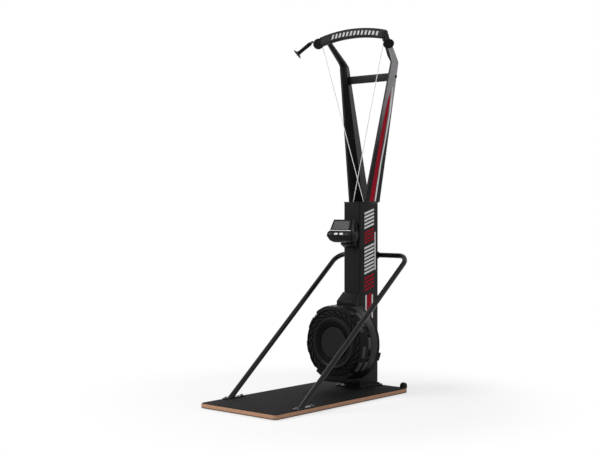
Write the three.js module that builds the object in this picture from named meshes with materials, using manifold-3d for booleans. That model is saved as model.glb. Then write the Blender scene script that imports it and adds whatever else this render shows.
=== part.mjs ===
// A standing ski trainer: the user pulls two cords that drive an air-braked flywheel.
// Millimetres. +X is the user's right, +Y runs from the user towards the column, +Z is up.
// Heights start at the floor and Y starts at the user's edge of the platform; the
// last lines move the whole machine so that its origin is under the middle of its box.

import * as THREE from "three";
import { mergeVertices } from "three/addons/utils/BufferGeometryUtils.js";
import Module from "manifold-3d";

// Fits shared by many pieces.
const seat = 0.3; // gap between two faces that meet
const running = 0.6; // radial gap of a piece that turns or slides
const overrun = 6; // how far a cut runs past the face it opens

// Facets of round pieces.
const fineFacets = 44;
const wideFacets = 32;
const roundFacets = 20;
const smallFacets = 12;
const cornerFacets = 2; // three.js doubles this on an arc

// Platform: a plywood board with a grip mat on it, on four rubber pads.
const pad = { radius: 26, height: 4, foot: 23, inset: 56 };
const board = { width: 600, length: 1242, thickness: 25, corner: 26, bevel: 1.5 };
const mat = { inset: 5, thickness: 3, bevel: 0.8 };

// Column: a square tube welded on a base plate, closed by a head plate.
const column = { width: 128, depth: 194, wall: 4, corner: 9, height: 1158, setback: 4 };
const basePlate = { width: 210, length: 236, thickness: 8, corner: 14, boltInset: 22, boltHole: 5.5 };
const headPlate = { thickness: 6, corner: 10, lip: 3 };
const cordHole = { radius: 6, flare: 9, flareDepth: 2, side: 38, back: 69.6, stagger: 5 };

// Arms: tapered box beams, narrow in front, that lean out and then forward.
const arm = {
  footFront: 54, // from the column's front face back to the arm's front edge
  bendHeight: 881, // above the arm's foot
  bendOut: 147, // how far the outer face moves out by the bend
  bendFront: 86, // how far the front edge moves back by the bend
  kneeRise: 35,
  kneeOut: 13.5,
  kneeFront: -24,
  tipRise: 172,
  tipOut: 38,
  tipFront: -131,
  footDepth: 152,
  bendDepth: 67,
  kneeDepth: 50,
  tipDepth: 27,
  footEdge: 15,
  bendEdge: 17,
  kneeEdge: 36,
  tipEdge: 34,
  footWidth: 52,
  bendWidth: 28,
  kneeWidth: 44,
  tipWidth: 36,
  wall: 2.5,
  bevel: 2,
};
const innerFlatShare = 0.48; // share of the arm's depth that its flat inner face takes

// Crossbar between the arms, just under the bend.
const crossbar = { height: 49, depth: 20, drop: 88, wall: 2.5, back: 3 };

// Top arch bar, which the user faces, with a pulley housing on each end.
const arch = { halfSpan: 258, sagitta: 30, height: 60, depth: 36, edge: 10, aboveArms: 38.2, ahead: 11 };
const archSteps = 16;

// Top pulleys. Each one turns in a round housing whose plane points outwards and forwards.
const topPulley = {
  centreX: 268,
  ahead: 9,
  belowArms: 33.5, // from the arms' tips down to its axle
  planAngle: 44,
  cordRadius: 22,
  rim: 26,
  width: 11,
  bore: 4.3,
  lip: 1.2,
};
const pulleyHousing = { radius: 34, width: 29, edge: 5, cavityGap: 1.4, mouth: 5 };
const pulleyAxle = { radius: 4, head: 7, headDepth: 2.5 };

// Pull cords, their stop balls and the pole-like handles.
const cord = { radius: 2.5, exitDip: 15 };
const cordSides = 8;
const stopBall = { radius: 8 };
const handle = {
  dip: 39.6,
  length: 118,
  neck: 9,
  shoulder: 13,
  shoulderAt: 14,
  waistAt: 88,
  waist: 12,
  coneAt: 106,
  cone: 15,
  flange: 33.5,
  flangeThickness: 4,
  flangeEdge: 1.5,
  socket: 3,
  socketDepth: 12,
};

// Brace: one bent tube from the platform up behind the column and down again.
const brace = {
  radius: 16,
  wall: 2,
  footInset: 22, // from the platform's side edge
  footY: 240,
  cornerInset: 14,
  behind: 26, // how far its cross tube runs behind the column
  cornerZ: 863,
  bend: 76,
};
const braceBendSteps = 7;
const footPlate = { width: 34, length: 168, thickness: 6, forward: 62, corner: 8, holeInset: 16, hole: 4.5 };
const saddle = { width: 96, height: 46, ear: 5 };
const clamp = { thickness: 4, width: 92 };

// Fan: a louvred housing on the column's front, round an air-braked flywheel.
const fan = { axisZ: 325, ahead: 187, flatTop: 228, roof: 3 };
const cover = {
  capHole: 62,
  floorRadius: 100,
  floor: 17,
  coneRadius: 142,
  coneTop: 3,
  ringInner: 146,
  ringOuter: 156,
  ringFoot: 161,
  shoulderIn: 6,
  louvreInner: 165,
  louvreOuter: 202,
  shoulderOut: 9,
  grooveInner: 205,
  grooveOuter: 209,
  groove: 17,
  rimInner: 211,
  rimTop: 5,
  rimOuter: 214,
  rimRadius: 218,
  rimSide: 12,
  radius: 240,
  depth: 40,
  wall: 3,
};
const louvre = { count: 26, width: 9, turn: 20 };
const cap = { radius: 89, front: 7, edge: 2.5, spigot: 56, spigotDepth: 7 };
const grille = { depth: 40, wall: 3, count: 30, bar: 9, end: 6 };
const drum = { radius: 242, wall: 3, depth: 74, lip: 3, edge: 4, bore: 24 };
const vent = { count: 8, inner: 110, outer: 196, halfAngle: 11 };
const damper = {
  thickness: 3,
  radius: 223,
  gap: 1.2,
  leverRadius: 254,
  leverAngle: -18,
  leverHalfAngle: 6,
  leverLip: 9,
};
const mountHub = { radius: 55, flange: 116, flangeThickness: 8, corner: 12 };
const flywheel = {
  radius: 210,
  front: 36,
  plate: 6,
  plateAt: 78,
  bladeInner: 112,
  bladeWidth: 3,
  bladeCount: 24,
  bladeTurn: 10,
  hub: 34,
  hubDepth: 64,
  rim: 9,
};

// Drive shaft, bearings, one-way clutches, cord reels and rewind springs.
const shaft = { radius: 8.5, front: 30, behind: 4 };
const bearing = { radius: 22, width: 14, flange: 32, flangeDepth: 4, frontAt: 156 };
const clutch = { radius: 16.5, width: 20 };
const reel = { barrel: 28, flange: 44, flangeWidth: 3, width: 26, middle: 18 };
const springCase = { height: 96, depth: 16, corner: 10, gap: 3.5, bore: 11 };

// Console on a tilting hinge. Its stations in depth are how far it reaches ahead of the column.
const console_ = {
  topZ: 1094,
  screenZ: 1024,
  ridgeZ: 1018,
  noseZ: 993,
  chinZ: 961,
  bottomZ: 950,
  topAhead: 91.5,
  screenAhead: 119.5,
  ridgeAhead: 127.5,
  noseAhead: 133.5,
  chinAhead: 110.5,
  bottomAhead: 88.5,
  splitAhead: 64.5,
  topHalf: 74,
  screenHalf: 86,
  ridgeHalf: 95,
  noseHalf: 100,
  chinHalf: 90,
  bottomHalf: 76,
  corner: 7,
  wall: 2.5,
};
const rearCase = { depth: 17, taper: 9 };
const screen = { halfTop: 62, halfBottom: 68, top: 8, bottom: 6, recess: 2, thickness: 1.6, window: 4 };
const button = {
  pitch: 43, width: 30, height: 13, corner: 6, stem: 9, flange: 1.5, flangeDepth: 1.5,
  proud: 2, side: 0.4,
};
const buttonCount = 4;
const circuitBoard = { width: 118, height: 46, thickness: 1.6, z: 1050 };
const hinge = { ahead: 36.5, z: 966, radius: 9, pin: 4, knuckle: 34, ear: 8, pinHead: 6.5, headDepth: 3 };
const bracket = { plateHeight: 86, plateThickness: 5, plateWidth: 62, corner: 6 };
// Its shroud closes the gap under the console: stations ahead of the column and heights.
const shroud = {
  half: 50, foot: 14, lipAhead: 51, backAhead: 38, lowZ: 914, lipZ: 938, topZ: 953, edge: 4,
};

// Tipping wheels on the rear edge of the platform.
const wheel = { radius: 25, width: 24, axle: 5, inset: 45, behind: 10, z: 36, tread: 2.5, notch: 3 };
const wheelBracket = { thickness: 4, ear: 4, earRadius: 11, retainer: 9, retainerDepth: 2 };

// Neck cover between the fan and the column.
const neck = { width: 130, top: 632, front: 72, wall: 3, edge: 10, foot: 26 };

// Stations worked out from the sizes above.
const boardBottom = pad.height + seat;
const boardTop = boardBottom + board.thickness;
const matTop = boardTop + seat + mat.thickness;
const deck = matTop + seat; // the underside of what stands on the mat
const columnRear = board.length - column.setback;
const columnFront = columnRear - column.depth;
const columnFoot = deck + basePlate.thickness + seat;
const columnTop = columnFoot + column.height;
const headTop = columnTop + seat + headPlate.thickness;
const cordHoleY = columnFront + cordHole.back;
const armFoot = headTop + seat;
const archFront = columnFront - arch.ahead;
const fanFront = columnFront - fan.ahead;
const hingeY = columnFront - hinge.ahead;
const consoleSplit = columnFront - console_.splitAhead;
const braceCornerY = columnRear + brace.behind;
const braceCornerX = board.width / 2 - brace.cornerInset;
const braceFootX = board.width / 2 - brace.footInset;
const wheelX = board.width / 2 - wheel.inset;
const wheelY = board.length + wheel.behind;
// The cords cross between head plate and arms, so their holes stand at different depths.
const holeY = (sign) => cordHoleY - sign * cordHole.stagger;

const wasm = await Module();
wasm.setup();

// A closed three.js geometry as a solid, with its faces turned outwards.
function solidOf(geometry) {
  const flat = geometry.index ? geometry.toNonIndexed() : geometry.clone();
  const bare = new THREE.BufferGeometry();
  bare.setAttribute("position", flat.getAttribute("position"));
  const merged = mergeVertices(bare, mergeTolerance);
  const index = merged.index.array;
  const position = merged.attributes.position;
  const corners = [];
  let volume = 0;
  const a = new THREE.Vector3();
  const b = new THREE.Vector3();
  const c = new THREE.Vector3();
  for (let i = 0; i < index.length; i += 3) {
    const [p, q, r] = [index[i], index[i + 1], index[i + 2]];
    if (p === q || q === r || r === p) continue;
    corners.push([p, q, r]);
    a.fromBufferAttribute(position, p);
    b.fromBufferAttribute(position, q);
    c.fromBufferAttribute(position, r);
    volume += a.dot(b.cross(c));
  }
  const outwards = volume > 0 ? corners : corners.map(([p, q, r]) => [p, r, q]);
  return new wasm.Manifold(
    new wasm.Mesh({
      numProp: 3,
      vertProperties: Float32Array.from(position.array),
      triVerts: Uint32Array.from(outwards.flat()),
    }),
  );
}
const mergeTolerance = 1e-4;

// A solid as a mesh with its own material.
function meshOf(name, solid, material) {
  const data = solid.getMesh();
  const points = new Float32Array(data.numVert * 3);
  for (let i = 0; i < data.numVert; i++) {
    points.set(data.vertProperties.subarray(i * data.numProp, i * data.numProp + 3), i * 3);
  }
  const geometry = new THREE.BufferGeometry();
  geometry.setAttribute("position", new THREE.BufferAttribute(points, 3));
  geometry.setIndex(new THREE.BufferAttribute(new Uint32Array(data.triVerts), 1));
  geometry.computeVertexNormals();
  const mesh = new THREE.Mesh(geometry, new THREE.MeshStandardMaterial(material));
  mesh.name = name;
  return mesh;
}

const join = (...solids) => solids.reduce((all, next) => all.add(next));
const cut = (body, ...tools) => tools.reduce((left, tool) => left.subtract(tool), body);
const radians = THREE.MathUtils.degToRad;
const mid = (a, b) => (a + b) / 2;

// A box between two corners.
function block([x0, y0, z0], [x1, y1, z1]) {
  const geometry = new THREE.BoxGeometry(x1 - x0, y1 - y0, z1 - z0);
  geometry.translate(mid(x0, x1), mid(y0, y1), mid(z0, z1));
  return solidOf(geometry);
}

// A round bar along one axis, from one station to another.
function bar(axis, centre, radius, from, to, facets) {
  const geometry = new THREE.CylinderGeometry(radius, radius, to - from, facets);
  const at = new THREE.Vector3(...centre);
  if (axis === "x") geometry.rotateZ(Math.PI / 2);
  if (axis === "z") geometry.rotateX(Math.PI / 2);
  at[axis] = mid(from, to);
  geometry.translate(at.x, at.y, at.z);
  return solidOf(geometry);
}

// A closed profile of [radius, station] points turned about the Y axis.
function turned(profile, facets) {
  const points = profile.map(([r, y]) => new THREE.Vector2(r, y));
  const first = points[0];
  const last = points[points.length - 1];
  if (first.x > 0 || last.x > 0) points.push(first.clone());
  return new THREE.LatheGeometry(points, facets);
}

// The outline of a rectangle with round corners, centred on a point.
function roundedRectangle(width, height, corner, centreX = 0, centreY = 0) {
  const shape = new THREE.Shape();
  const [x0, x1] = [centreX - width / 2, centreX + width / 2];
  const [y0, y1] = [centreY - height / 2, centreY + height / 2];
  shape.absarc(x1 - corner, y0 + corner, corner, -Math.PI / 2, 0, false);
  shape.absarc(x1 - corner, y1 - corner, corner, 0, Math.PI / 2, false);
  shape.absarc(x0 + corner, y1 - corner, corner, Math.PI / 2, Math.PI, false);
  shape.absarc(x0 + corner, y0 + corner, corner, Math.PI, 1.5 * Math.PI, false);
  return shape;
}

// An outline in plan, raised from one height to another, with bevelled edges if asked.
function raised(shape, from, to, bevel = 0, facets = cornerFacets) {
  const geometry = new THREE.ExtrudeGeometry(shape, {
    depth: to - from - 2 * bevel,
    bevelEnabled: bevel > 0,
    bevelThickness: bevel,
    bevelSize: bevel,
    bevelOffset: -bevel,
    bevelSegments: 1,
    curveSegments: facets,
  });
  geometry.translate(0, 0, from + bevel);
  return solidOf(geometry);
}

// A side outline of [y, z] points, extruded along X from one side to the other.
function sideways(shape, fromX, toX, facets = cornerFacets) {
  const geometry = new THREE.ExtrudeGeometry(shape, {
    depth: toX - fromX,
    bevelEnabled: false,
    curveSegments: facets,
  });
  geometry.applyMatrix4(new THREE.Matrix4().makeBasis(axisY, axisZ, axisX));
  geometry.translate(fromX, 0, 0);
  return solidOf(geometry);
}
const axisX = new THREE.Vector3(1, 0, 0);
const axisY = new THREE.Vector3(0, 1, 0);
const axisZ = new THREE.Vector3(0, 0, 1);

// A front outline of [x, z] points, extruded along Y.
function facing(shape, fromY, toY, facets = cornerFacets) {
  const geometry = new THREE.ExtrudeGeometry(shape, {
    depth: toY - fromY,
    bevelEnabled: false,
    curveSegments: facets,
  });
  geometry.rotateX(Math.PI / 2);
  geometry.translate(0, toY, 0);
  return solidOf(geometry);
}

function outline(points) {
  return new THREE.Shape(points.map(([x, y]) => new THREE.Vector2(x, y)));
}

// A skin over a row of rings, each with as many points, closed by a flat at each end.
function loft(rings) {
  const count = rings[0].length;
  const points = rings.flat();
  const faces = [];
  for (let k = 0; k + 1 < rings.length; k++) {
    for (let i = 0; i < count; i++) {
      const [p, q] = [k * count + i, k * count + ((i + 1) % count)];
      faces.push(p, q, q + count, p, q + count, p + count);
    }
  }
  const top = (rings.length - 1) * count;
  for (let i = 1; i + 1 < count; i++) {
    faces.push(0, i + 1, i);
    faces.push(top, top + i, top + i + 1);
  }
  const geometry = new THREE.BufferGeometry();
  geometry.setAttribute("position", new THREE.Float32BufferAttribute(points.flat(), 3));
  geometry.setIndex(faces);
  return solidOf(geometry);
}

// A route through points, which a tube follows with one section at each point.
class Route extends THREE.Curve {
  constructor(points) {
    super();
    this.points = points;
  }
  getPoint(t) {
    const last = this.points.length - 1;
    const k = Math.min(Math.floor(t * last), last - 1);
    return this.points[k].clone().lerp(this.points[k + 1], t * last - k);
  }
  getPointAt(t) {
    return this.getPoint(t);
  }
  getTangentAt(t) {
    const last = this.points.length - 1;
    const k = Math.round(t * last);
    const back = this.points[Math.max(k - 1, 0)];
    const next = this.points[Math.min(k + 1, last)];
    const here = this.points[k];
    const arriving = here.clone().sub(back).normalize();
    const leaving = next.clone().sub(here).normalize();
    return arriving.add(leaving).normalize();
  }
}

// A round tube or rod along a route.
function tube(points, radius, sides) {
  const section = new THREE.Shape();
  section.absarc(0, 0, radius, 0, 2 * Math.PI, false);
  const geometry = new THREE.ExtrudeGeometry(section, {
    steps: points.length - 1,
    curveSegments: sides / 2,
    extrudePath: new Route(points),
  });
  return solidOf(geometry);
}

// The points of an arc that turns from one direction to another at a corner.
function bendPoints(corner, from, to, radius, steps) {
  const arriving = corner.clone().sub(from).normalize();
  const leaving = to.clone().sub(corner).normalize();
  const turn = arriving.angleTo(leaving);
  const reach = radius * Math.tan(turn / 2);
  const start = corner.clone().addScaledVector(arriving, -reach);
  const inwards = leaving.clone().addScaledVector(arriving, -leaving.dot(arriving)).normalize();
  const centre = start.clone().addScaledVector(inwards, radius);
  return Array.from({ length: steps + 1 }, (_, i) => {
    const angle = (turn * i) / steps;
    return centre
      .clone()
      .addScaledVector(inwards, -radius * Math.cos(angle))
      .addScaledVector(arriving, radius * Math.sin(angle));
  });
}

// Finishes.
const finish = {
  plywood: { color: 0xb98f68, roughness: 0.55, metalness: 0 },
  gripMat: { color: 0x303032, roughness: 0.85, metalness: 0 },
  rubber: { color: 0x151515, roughness: 0.8, metalness: 0 },
  blackPaint: { color: 0x1c1c1e, roughness: 0.42, metalness: 0.1 },
  blackPlastic: { color: 0x1a1a1c, roughness: 0.5, metalness: 0 },
  greyPlastic: { color: 0x3a3a3c, roughness: 0.5, metalness: 0 },
  steel: { color: 0x9a9a9c, roughness: 0.35, metalness: 0.9 },
  zinc: { color: 0xb4b6b8, roughness: 0.4, metalness: 0.9 },
  cordWhite: { color: 0xe4e4e4, roughness: 0.7, metalness: 0 },
  lens: { color: 0x6f7674, roughness: 0.15, metalness: 0 },
  buttonWhite: { color: 0xdedede, roughness: 0.45, metalness: 0 },
  circuitGreen: { color: 0x1f5a3a, roughness: 0.6, metalness: 0 },
};

const machine = new THREE.Group();
function place(name, solid, material, group = machine) {
  const mesh = meshOf(name, solid, material);
  group.add(mesh);
  return mesh;
}

// Pieces that come in a left and a right are built on the right and mirrored.
const sides = [
  { word: "left", sign: -1 },
  { word: "right", sign: 1 },
];
function placePair(name, solid, material, group = machine) {
  for (const { word, sign } of sides) {
    const mesh = meshOf(`${word}_${name}`, solid, material);
    mesh.scale.x = sign;
    group.add(mesh);
  }
}

// Platform
const boardCentre = board.length / 2;
const boardShape = roundedRectangle(board.width, board.length, board.corner, 0, boardCentre);
const notchFront = wheelY - wheel.radius - wheel.notch;
const notchHalf = wheel.width / 2 + wheel.notch;
const notches = sides.map(({ sign }) =>
  block(
    [sign * wheelX - notchHalf, notchFront, -overrun],
    [sign * wheelX + notchHalf, board.length + overrun, boardTop + board.thickness],
  ),
);
place(
  "platform_board",
  cut(raised(boardShape, boardBottom, boardTop, board.bevel), ...notches),
  finish.plywood,
);
const matShape = roundedRectangle(
  board.width - 2 * mat.inset,
  board.length - 2 * mat.inset,
  board.corner - mat.inset,
  0,
  boardCentre,
);
place(
  "platform_mat",
  cut(raised(matShape, boardTop + seat, matTop, mat.bevel), ...notches),
  finish.gripMat,
);

function padSolid(y) {
  const geometry = new THREE.CylinderGeometry(pad.radius, pad.foot, pad.height, roundFacets);
  geometry.rotateX(Math.PI / 2);
  geometry.translate(board.width / 2 - pad.inset, y, pad.height / 2);
  return solidOf(geometry);
}
placePair("front_foot_pad", padSolid(pad.inset), finish.rubber);
placePair("rear_foot_pad", padSolid(board.length - pad.inset), finish.rubber);

// Column and its base and head plates
const plateCentre = columnRear - basePlate.length / 2;
function boltHoles(width, length, inset, radius, centreX, centreY, from, to) {
  const holes = [];
  for (const x of [centreX - width / 2 + inset, centreX + width / 2 - inset]) {
    for (const y of [centreY - length / 2 + inset, centreY + length / 2 - inset]) {
      holes.push(bar("z", [x, y, 0], radius, from, to, smallFacets));
    }
  }
  return holes;
}
place(
  "column_base_plate",
  cut(
    raised(
      roundedRectangle(basePlate.width, basePlate.length, basePlate.corner, 0, plateCentre),
      deck,
      deck + basePlate.thickness,
    ),
    ...boltHoles(
      basePlate.width,
      basePlate.length,
      basePlate.boltInset,
      basePlate.boltHole,
      0,
      plateCentre,
      deck - overrun,
      deck + basePlate.thickness + overrun,
    ),
  ),
  finish.blackPaint,
);

const columnCentre = mid(columnFront, columnRear);
const columnOuter = roundedRectangle(column.width, column.depth, column.corner, 0, columnCentre);
const columnInner = roundedRectangle(
  column.width - 2 * column.wall,
  column.depth - 2 * column.wall,
  column.corner - column.wall,
  0,
  columnCentre,
);
const shaftCentre = [0, 0, fan.axisZ];
place(
  "column_tube",
  cut(
    raised(columnOuter, columnFoot, columnTop),
    raised(columnInner, columnFoot - overrun, columnTop + overrun),
    bar("y", shaftCentre, drum.bore + seat, columnFront - overrun, columnCentre, roundFacets),
    bar("y", shaftCentre, bearing.radius + seat, columnCentre, columnRear + overrun, roundFacets),
  ),
  finish.blackPaint,
);

function cordHoleTool(sign) {
  const profile = [
    [0, columnTop - overrun],
    [cordHole.radius, columnTop - overrun],
    [cordHole.radius, headTop - cordHole.flareDepth],
    [cordHole.flare, headTop],
    [cordHole.flare, headTop + overrun],
    [0, headTop + overrun],
  ];
  const geometry = turned(profile, smallFacets);
  geometry.rotateX(Math.PI / 2);
  geometry.translate(-sign * cordHole.side, holeY(sign), 0);
  return solidOf(geometry);
}
const headShape = roundedRectangle(
  column.width + 2 * headPlate.lip,
  column.depth + 2 * headPlate.lip,
  headPlate.corner,
  0,
  columnCentre,
);
place(
  "column_head_plate",
  cut(
    raised(headShape, columnTop + seat, headTop),
    cordHoleTool(-1),
    cordHoleTool(1),
  ),
  finish.blackPaint,
);

// Arms. Each station gives the outer face, the front edge, the depth and both widths.
const armStations = [
  { z: 0, out: 0, front: 0, depth: arm.footDepth, width: arm.footWidth, edge: arm.footEdge },
  {
    z: arm.bendHeight,
    out: arm.bendOut,
    front: arm.bendFront,
    depth: arm.bendDepth,
    width: arm.bendWidth,
    edge: arm.bendEdge,
  },
  {
    z: arm.bendHeight + arm.kneeRise,
    out: arm.bendOut + arm.kneeOut,
    front: arm.bendFront + arm.kneeFront,
    depth: arm.kneeDepth,
    width: arm.kneeWidth,
    edge: arm.kneeEdge,
  },
  {
    z: arm.bendHeight + arm.tipRise,
    out: arm.bendOut + arm.tipOut,
    front: arm.bendFront + arm.tipFront,
    depth: arm.tipDepth,
    width: arm.tipWidth,
    edge: arm.tipEdge,
  },
];
const armOuterFoot = column.width / 2 + headPlate.lip;
const armFrontFoot = columnFront + arm.footFront;

// The arm's plan section at a station, drawn in by an inset, with small bevels outside.
function armSection(station, inset, bevel) {
  const outer = armOuterFoot + station.out - inset;
  const front = armFrontFoot + station.front + inset;
  const rear = armFrontFoot + station.front + station.depth - inset;
  const flat = rear - station.depth * innerFlatShare;
  const inner = outer + 2 * inset - station.width;
  const edge = outer + 2 * inset - station.edge;
  const z = armFoot + station.z;
  return [
    [outer, front + bevel, z],
    [outer, rear - bevel, z],
    [outer - bevel, rear, z],
    [inner + bevel, rear, z],
    [inner, rear - bevel, z],
    [inner, flat, z],
    [edge, front + bevel, z],
    [edge + bevel, front, z],
    [outer - bevel, front, z],
  ];
}
const archRear = archFront + arch.depth;
const armTip = armFoot + arm.bendHeight + arm.tipRise;
function armRings(inset, bevel) {
  return armStations.map((station) => armSection(station, inset, bevel));
}
// The hollow opens at the foot and stops short of the tip.
function armHollow() {
  const rings = armRings(arm.wall, arm.bevel / 2);
  const [foot, bend, knee] = rings;
  const opening = foot.map(([x, y, z]) => [x, y, z - overrun]);
  return loft([opening, foot, bend, knee]);
}
placePair(
  "arm",
  cut(
    loft(armRings(0, arm.bevel)),
    armHollow(),
    block([0, 0, armFoot], [board.width, archRear + seat, armTip + overrun]),
  ),
  finish.blackPaint,
);

// Crossbar: its ends follow the flat inner faces of the arms.
function armInnerX(z) {
  const share = (z - armFoot) / arm.bendHeight;
  const out = armOuterFoot + arm.bendOut * share;
  return out - (arm.footWidth + (arm.bendWidth - arm.footWidth) * share);
}
const crossbarTop = armFoot + arm.bendHeight - crossbar.drop + crossbar.height / 2;
const crossbarBottom = crossbarTop - crossbar.height;
const armRearFoot = armFrontFoot + arm.footDepth;
const armRearBend = armFrontFoot + arm.bendFront + arm.bendDepth;
const crossbarRear = Math.min(armRearFoot, armRearBend) - crossbar.back;
function crossbarBody(inset, extra) {
  const [low, high] = [crossbarBottom + inset, crossbarTop - inset];
  const [front, rear] = [crossbarRear - crossbar.depth + inset, crossbarRear - inset];
  const [lowX, highX] = [armInnerX(low) - seat + extra, armInnerX(high) - seat + extra];
  const end = (sign) => [
    [sign * lowX, front, low],
    [sign * lowX, rear, low],
    [sign * highX, rear, high],
    [sign * highX, front, high],
  ];
  return loft([end(-1), end(1)]);
}
place(
  "arm_crossbar",
  cut(crossbarBody(0, 0), crossbarBody(crossbar.wall, overrun)),
  finish.blackPaint,
);

// Top arch bar: a rounded section swept along an arc in the X-Z plane.
const archRadius = (arch.halfSpan ** 2 + arch.sagitta ** 2) / (2 * arch.sagitta);
const archMiddleY = archFront + arch.depth / 2;
function archSection(x) {
  const drop = archRadius - Math.sqrt(archRadius ** 2 - x ** 2);
  const top = armTip + arch.aboveArms - drop;
  const low = top - arch.height;
  const rear = archRear;
  const e = arch.edge;
  return [
    [x, archFront, low + e],
    [x, archFront + e / 2, low + e / 4],
    [x, archMiddleY, low],
    [x, rear - e / 2, low + e / 4],
    [x, rear, low + e],
    [x, rear, top - e],
    [x, rear - e / 2, top - e / 4],
    [x, archMiddleY, top],
    [x, archFront + e / 2, top - e / 4],
    [x, archFront, top - e],
  ];
}
const archRings = Array.from({ length: archSteps + 1 }, (_, i) =>
  archSection(arch.halfSpan * ((2 * i) / archSteps - 1)),
);

// The frame of a top pulley: its axle along local Y, outwards along local X.
const pulleyCentre = new THREE.Vector3(
  topPulley.centreX,
  columnFront - topPulley.ahead,
  armTip - topPulley.belowArms,
);
const plan = radians(topPulley.planAngle);
const outwards = new THREE.Vector3(Math.cos(plan), -Math.sin(plan), 0);
const axleWay = new THREE.Vector3(Math.sin(plan), Math.cos(plan), 0);
const pulleyFrame = new THREE.Matrix4().makeBasis(outwards, axleWay, axisZ).setPosition(pulleyCentre);
function atPulley(geometry) {
  return solidOf(geometry.applyMatrix4(pulleyFrame));
}
// A point in the pulley's plane: so far outwards and so far up from its centre.
function inPulleyPlane(out, up) {
  return pulleyCentre.clone().addScaledVector(outwards, out).addScaledVector(axisZ, up);
}

// Route of the right cord: from its reel through the head plate and over the pulley.
const exitDip = radians(cord.exitDip);
const ballReach = pulleyHousing.radius + stopBall.radius + seat;
const cordReach = Math.sqrt(ballReach ** 2 - topPulley.cordRadius ** 2);
const ballOut = topPulley.cordRadius * Math.sin(exitDip) + cordReach * Math.cos(exitDip);
const ballUp = topPulley.cordRadius * Math.cos(exitDip) - cordReach * Math.sin(exitDip);
const ballCentre = inPulleyPlane(ballOut, ballUp);
const cordTangent = reel.barrel + seat + cord.radius;
const reelY = {
  right: cordHoleY - reel.middle,
  left: cordHoleY + reel.middle,
};
const wrapSteps = 8;
function cordRoute(sign) {
  const hole = new THREE.Vector3(-sign * cordHole.side, holeY(sign), headTop);
  const below = new THREE.Vector3(-sign * cordHole.side, holeY(sign), columnTop - cordHole.flare);
  const start = new THREE.Vector3(-cordTangent, sign > 0 ? reelY.right : reelY.left, fan.axisZ);
  const mirror = (v) => new THREE.Vector3(sign * v.x, v.y, v.z);
  const first = Math.PI;
  const last = Math.PI / 2 - exitDip;
  const wrap = Array.from({ length: wrapSteps + 1 }, (_, i) => {
    const angle = first + ((last - first) * i) / wrapSteps;
    return mirror(
      inPulleyPlane(topPulley.cordRadius * Math.cos(angle), topPulley.cordRadius * Math.sin(angle)),
    );
  });
  const towardsBall = ballCentre.clone().sub(wrap[wrapSteps].clone().set(
    sign * wrap[wrapSteps].x, wrap[wrapSteps].y, wrap[wrapSteps].z));
  const stopShort = 1 - (stopBall.radius + seat) / towardsBall.length();
  const end = mirror(
    mirror(wrap[wrapSteps]).addScaledVector(towardsBall, stopShort),
  );
  return [start, below, hole, ...wrap, end];
}
for (const { word, sign } of sides) {
  place(`${word}_pull_cord`, tube(cordRoute(sign), cord.radius, cordSides), finish.cordWhite);
}

// Pulley housing: a round casing with a cavity for the pulley and a mouth for the cord.
function housingOutline(grow) {
  const radius = pulleyHousing.radius + grow;
  const half = pulleyHousing.width / 2 + grow;
  return turned(
    [
      [0, -half],
      [radius - pulleyHousing.edge, -half],
      [radius, -half + pulleyHousing.edge],
      [radius, half - pulleyHousing.edge],
      [radius - pulleyHousing.edge, half],
      [0, half],
    ],
    roundFacets,
  );
}
const cavityHalf = topPulley.width / 2 + pulleyHousing.cavityGap;
const pulleyCavity = new THREE.CylinderGeometry(
  topPulley.rim + pulleyHousing.cavityGap,
  topPulley.rim + pulleyHousing.cavityGap,
  2 * cavityHalf,
  roundFacets,
);
const rightRoute = cordRoute(1);
const mouthRoute = rightRoute.slice(2);
mouthRoute[mouthRoute.length - 1] = ballCentre.clone();
const mouthMirrored = mouthRoute.map((v) => new THREE.Vector3(-v.x, v.y, v.z)).reverse();
const cordMouth = tube(mouthRoute, pulleyHousing.mouth, cordSides);
const cordMouthLeft = tube(mouthMirrored, pulleyHousing.mouth, cordSides);
const axleBore = new THREE.CylinderGeometry(
  pulleyAxle.radius + seat,
  pulleyAxle.radius + seat,
  pulleyHousing.width + 2 * overrun,
  smallFacets,
);
placePair(
  "pulley_housing",
  cut(atPulley(housingOutline(0)), atPulley(pulleyCavity), cordMouth, atPulley(axleBore)),
  finish.blackPlastic,
);

const mirrorX = new THREE.Matrix4().makeScale(-1, 1, 1);
const housingClear = atPulley(housingOutline(seat));
const housingClearLeft = solidOf(housingOutline(seat).applyMatrix4(pulleyFrame).applyMatrix4(mirrorX));
place(
  "top_arch_bar",
  cut(loft(archRings), housingClear, housingClearLeft, cordMouth, cordMouthLeft),
  finish.blackPaint,
);

const grooveRadius = topPulley.cordRadius - cord.radius - seat;
const pulleyHalf = topPulley.width / 2;
placePair(
  "top_pulley",
  atPulley(
    turned(
      [
        [topPulley.bore + running, -pulleyHalf],
        [topPulley.rim, -pulleyHalf],
        [topPulley.rim, -pulleyHalf + topPulley.lip],
        [grooveRadius, -cord.radius - seat],
        [grooveRadius, cord.radius + seat],
        [topPulley.rim, pulleyHalf - topPulley.lip],
        [topPulley.rim, pulleyHalf],
        [topPulley.bore + running, pulleyHalf],
      ],
      roundFacets,
    ),
  ),
  finish.greyPlastic,
);
const axleHalf = pulleyHousing.width / 2 + seat;
placePair(
  "pulley_axle",
  atPulley(
    turned(
      [
        [0, -axleHalf - pulleyAxle.headDepth],
        [pulleyAxle.head, -axleHalf - pulleyAxle.headDepth],
        [pulleyAxle.head, -axleHalf],
        [pulleyAxle.radius, -axleHalf],
        [pulleyAxle.radius, axleHalf],
        [pulleyAxle.head, axleHalf],
        [pulleyAxle.head, axleHalf + pulleyAxle.headDepth],
        [0, axleHalf + pulleyAxle.headDepth],
      ],
      smallFacets,
    ),
  ),
  finish.steel,
);

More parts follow.
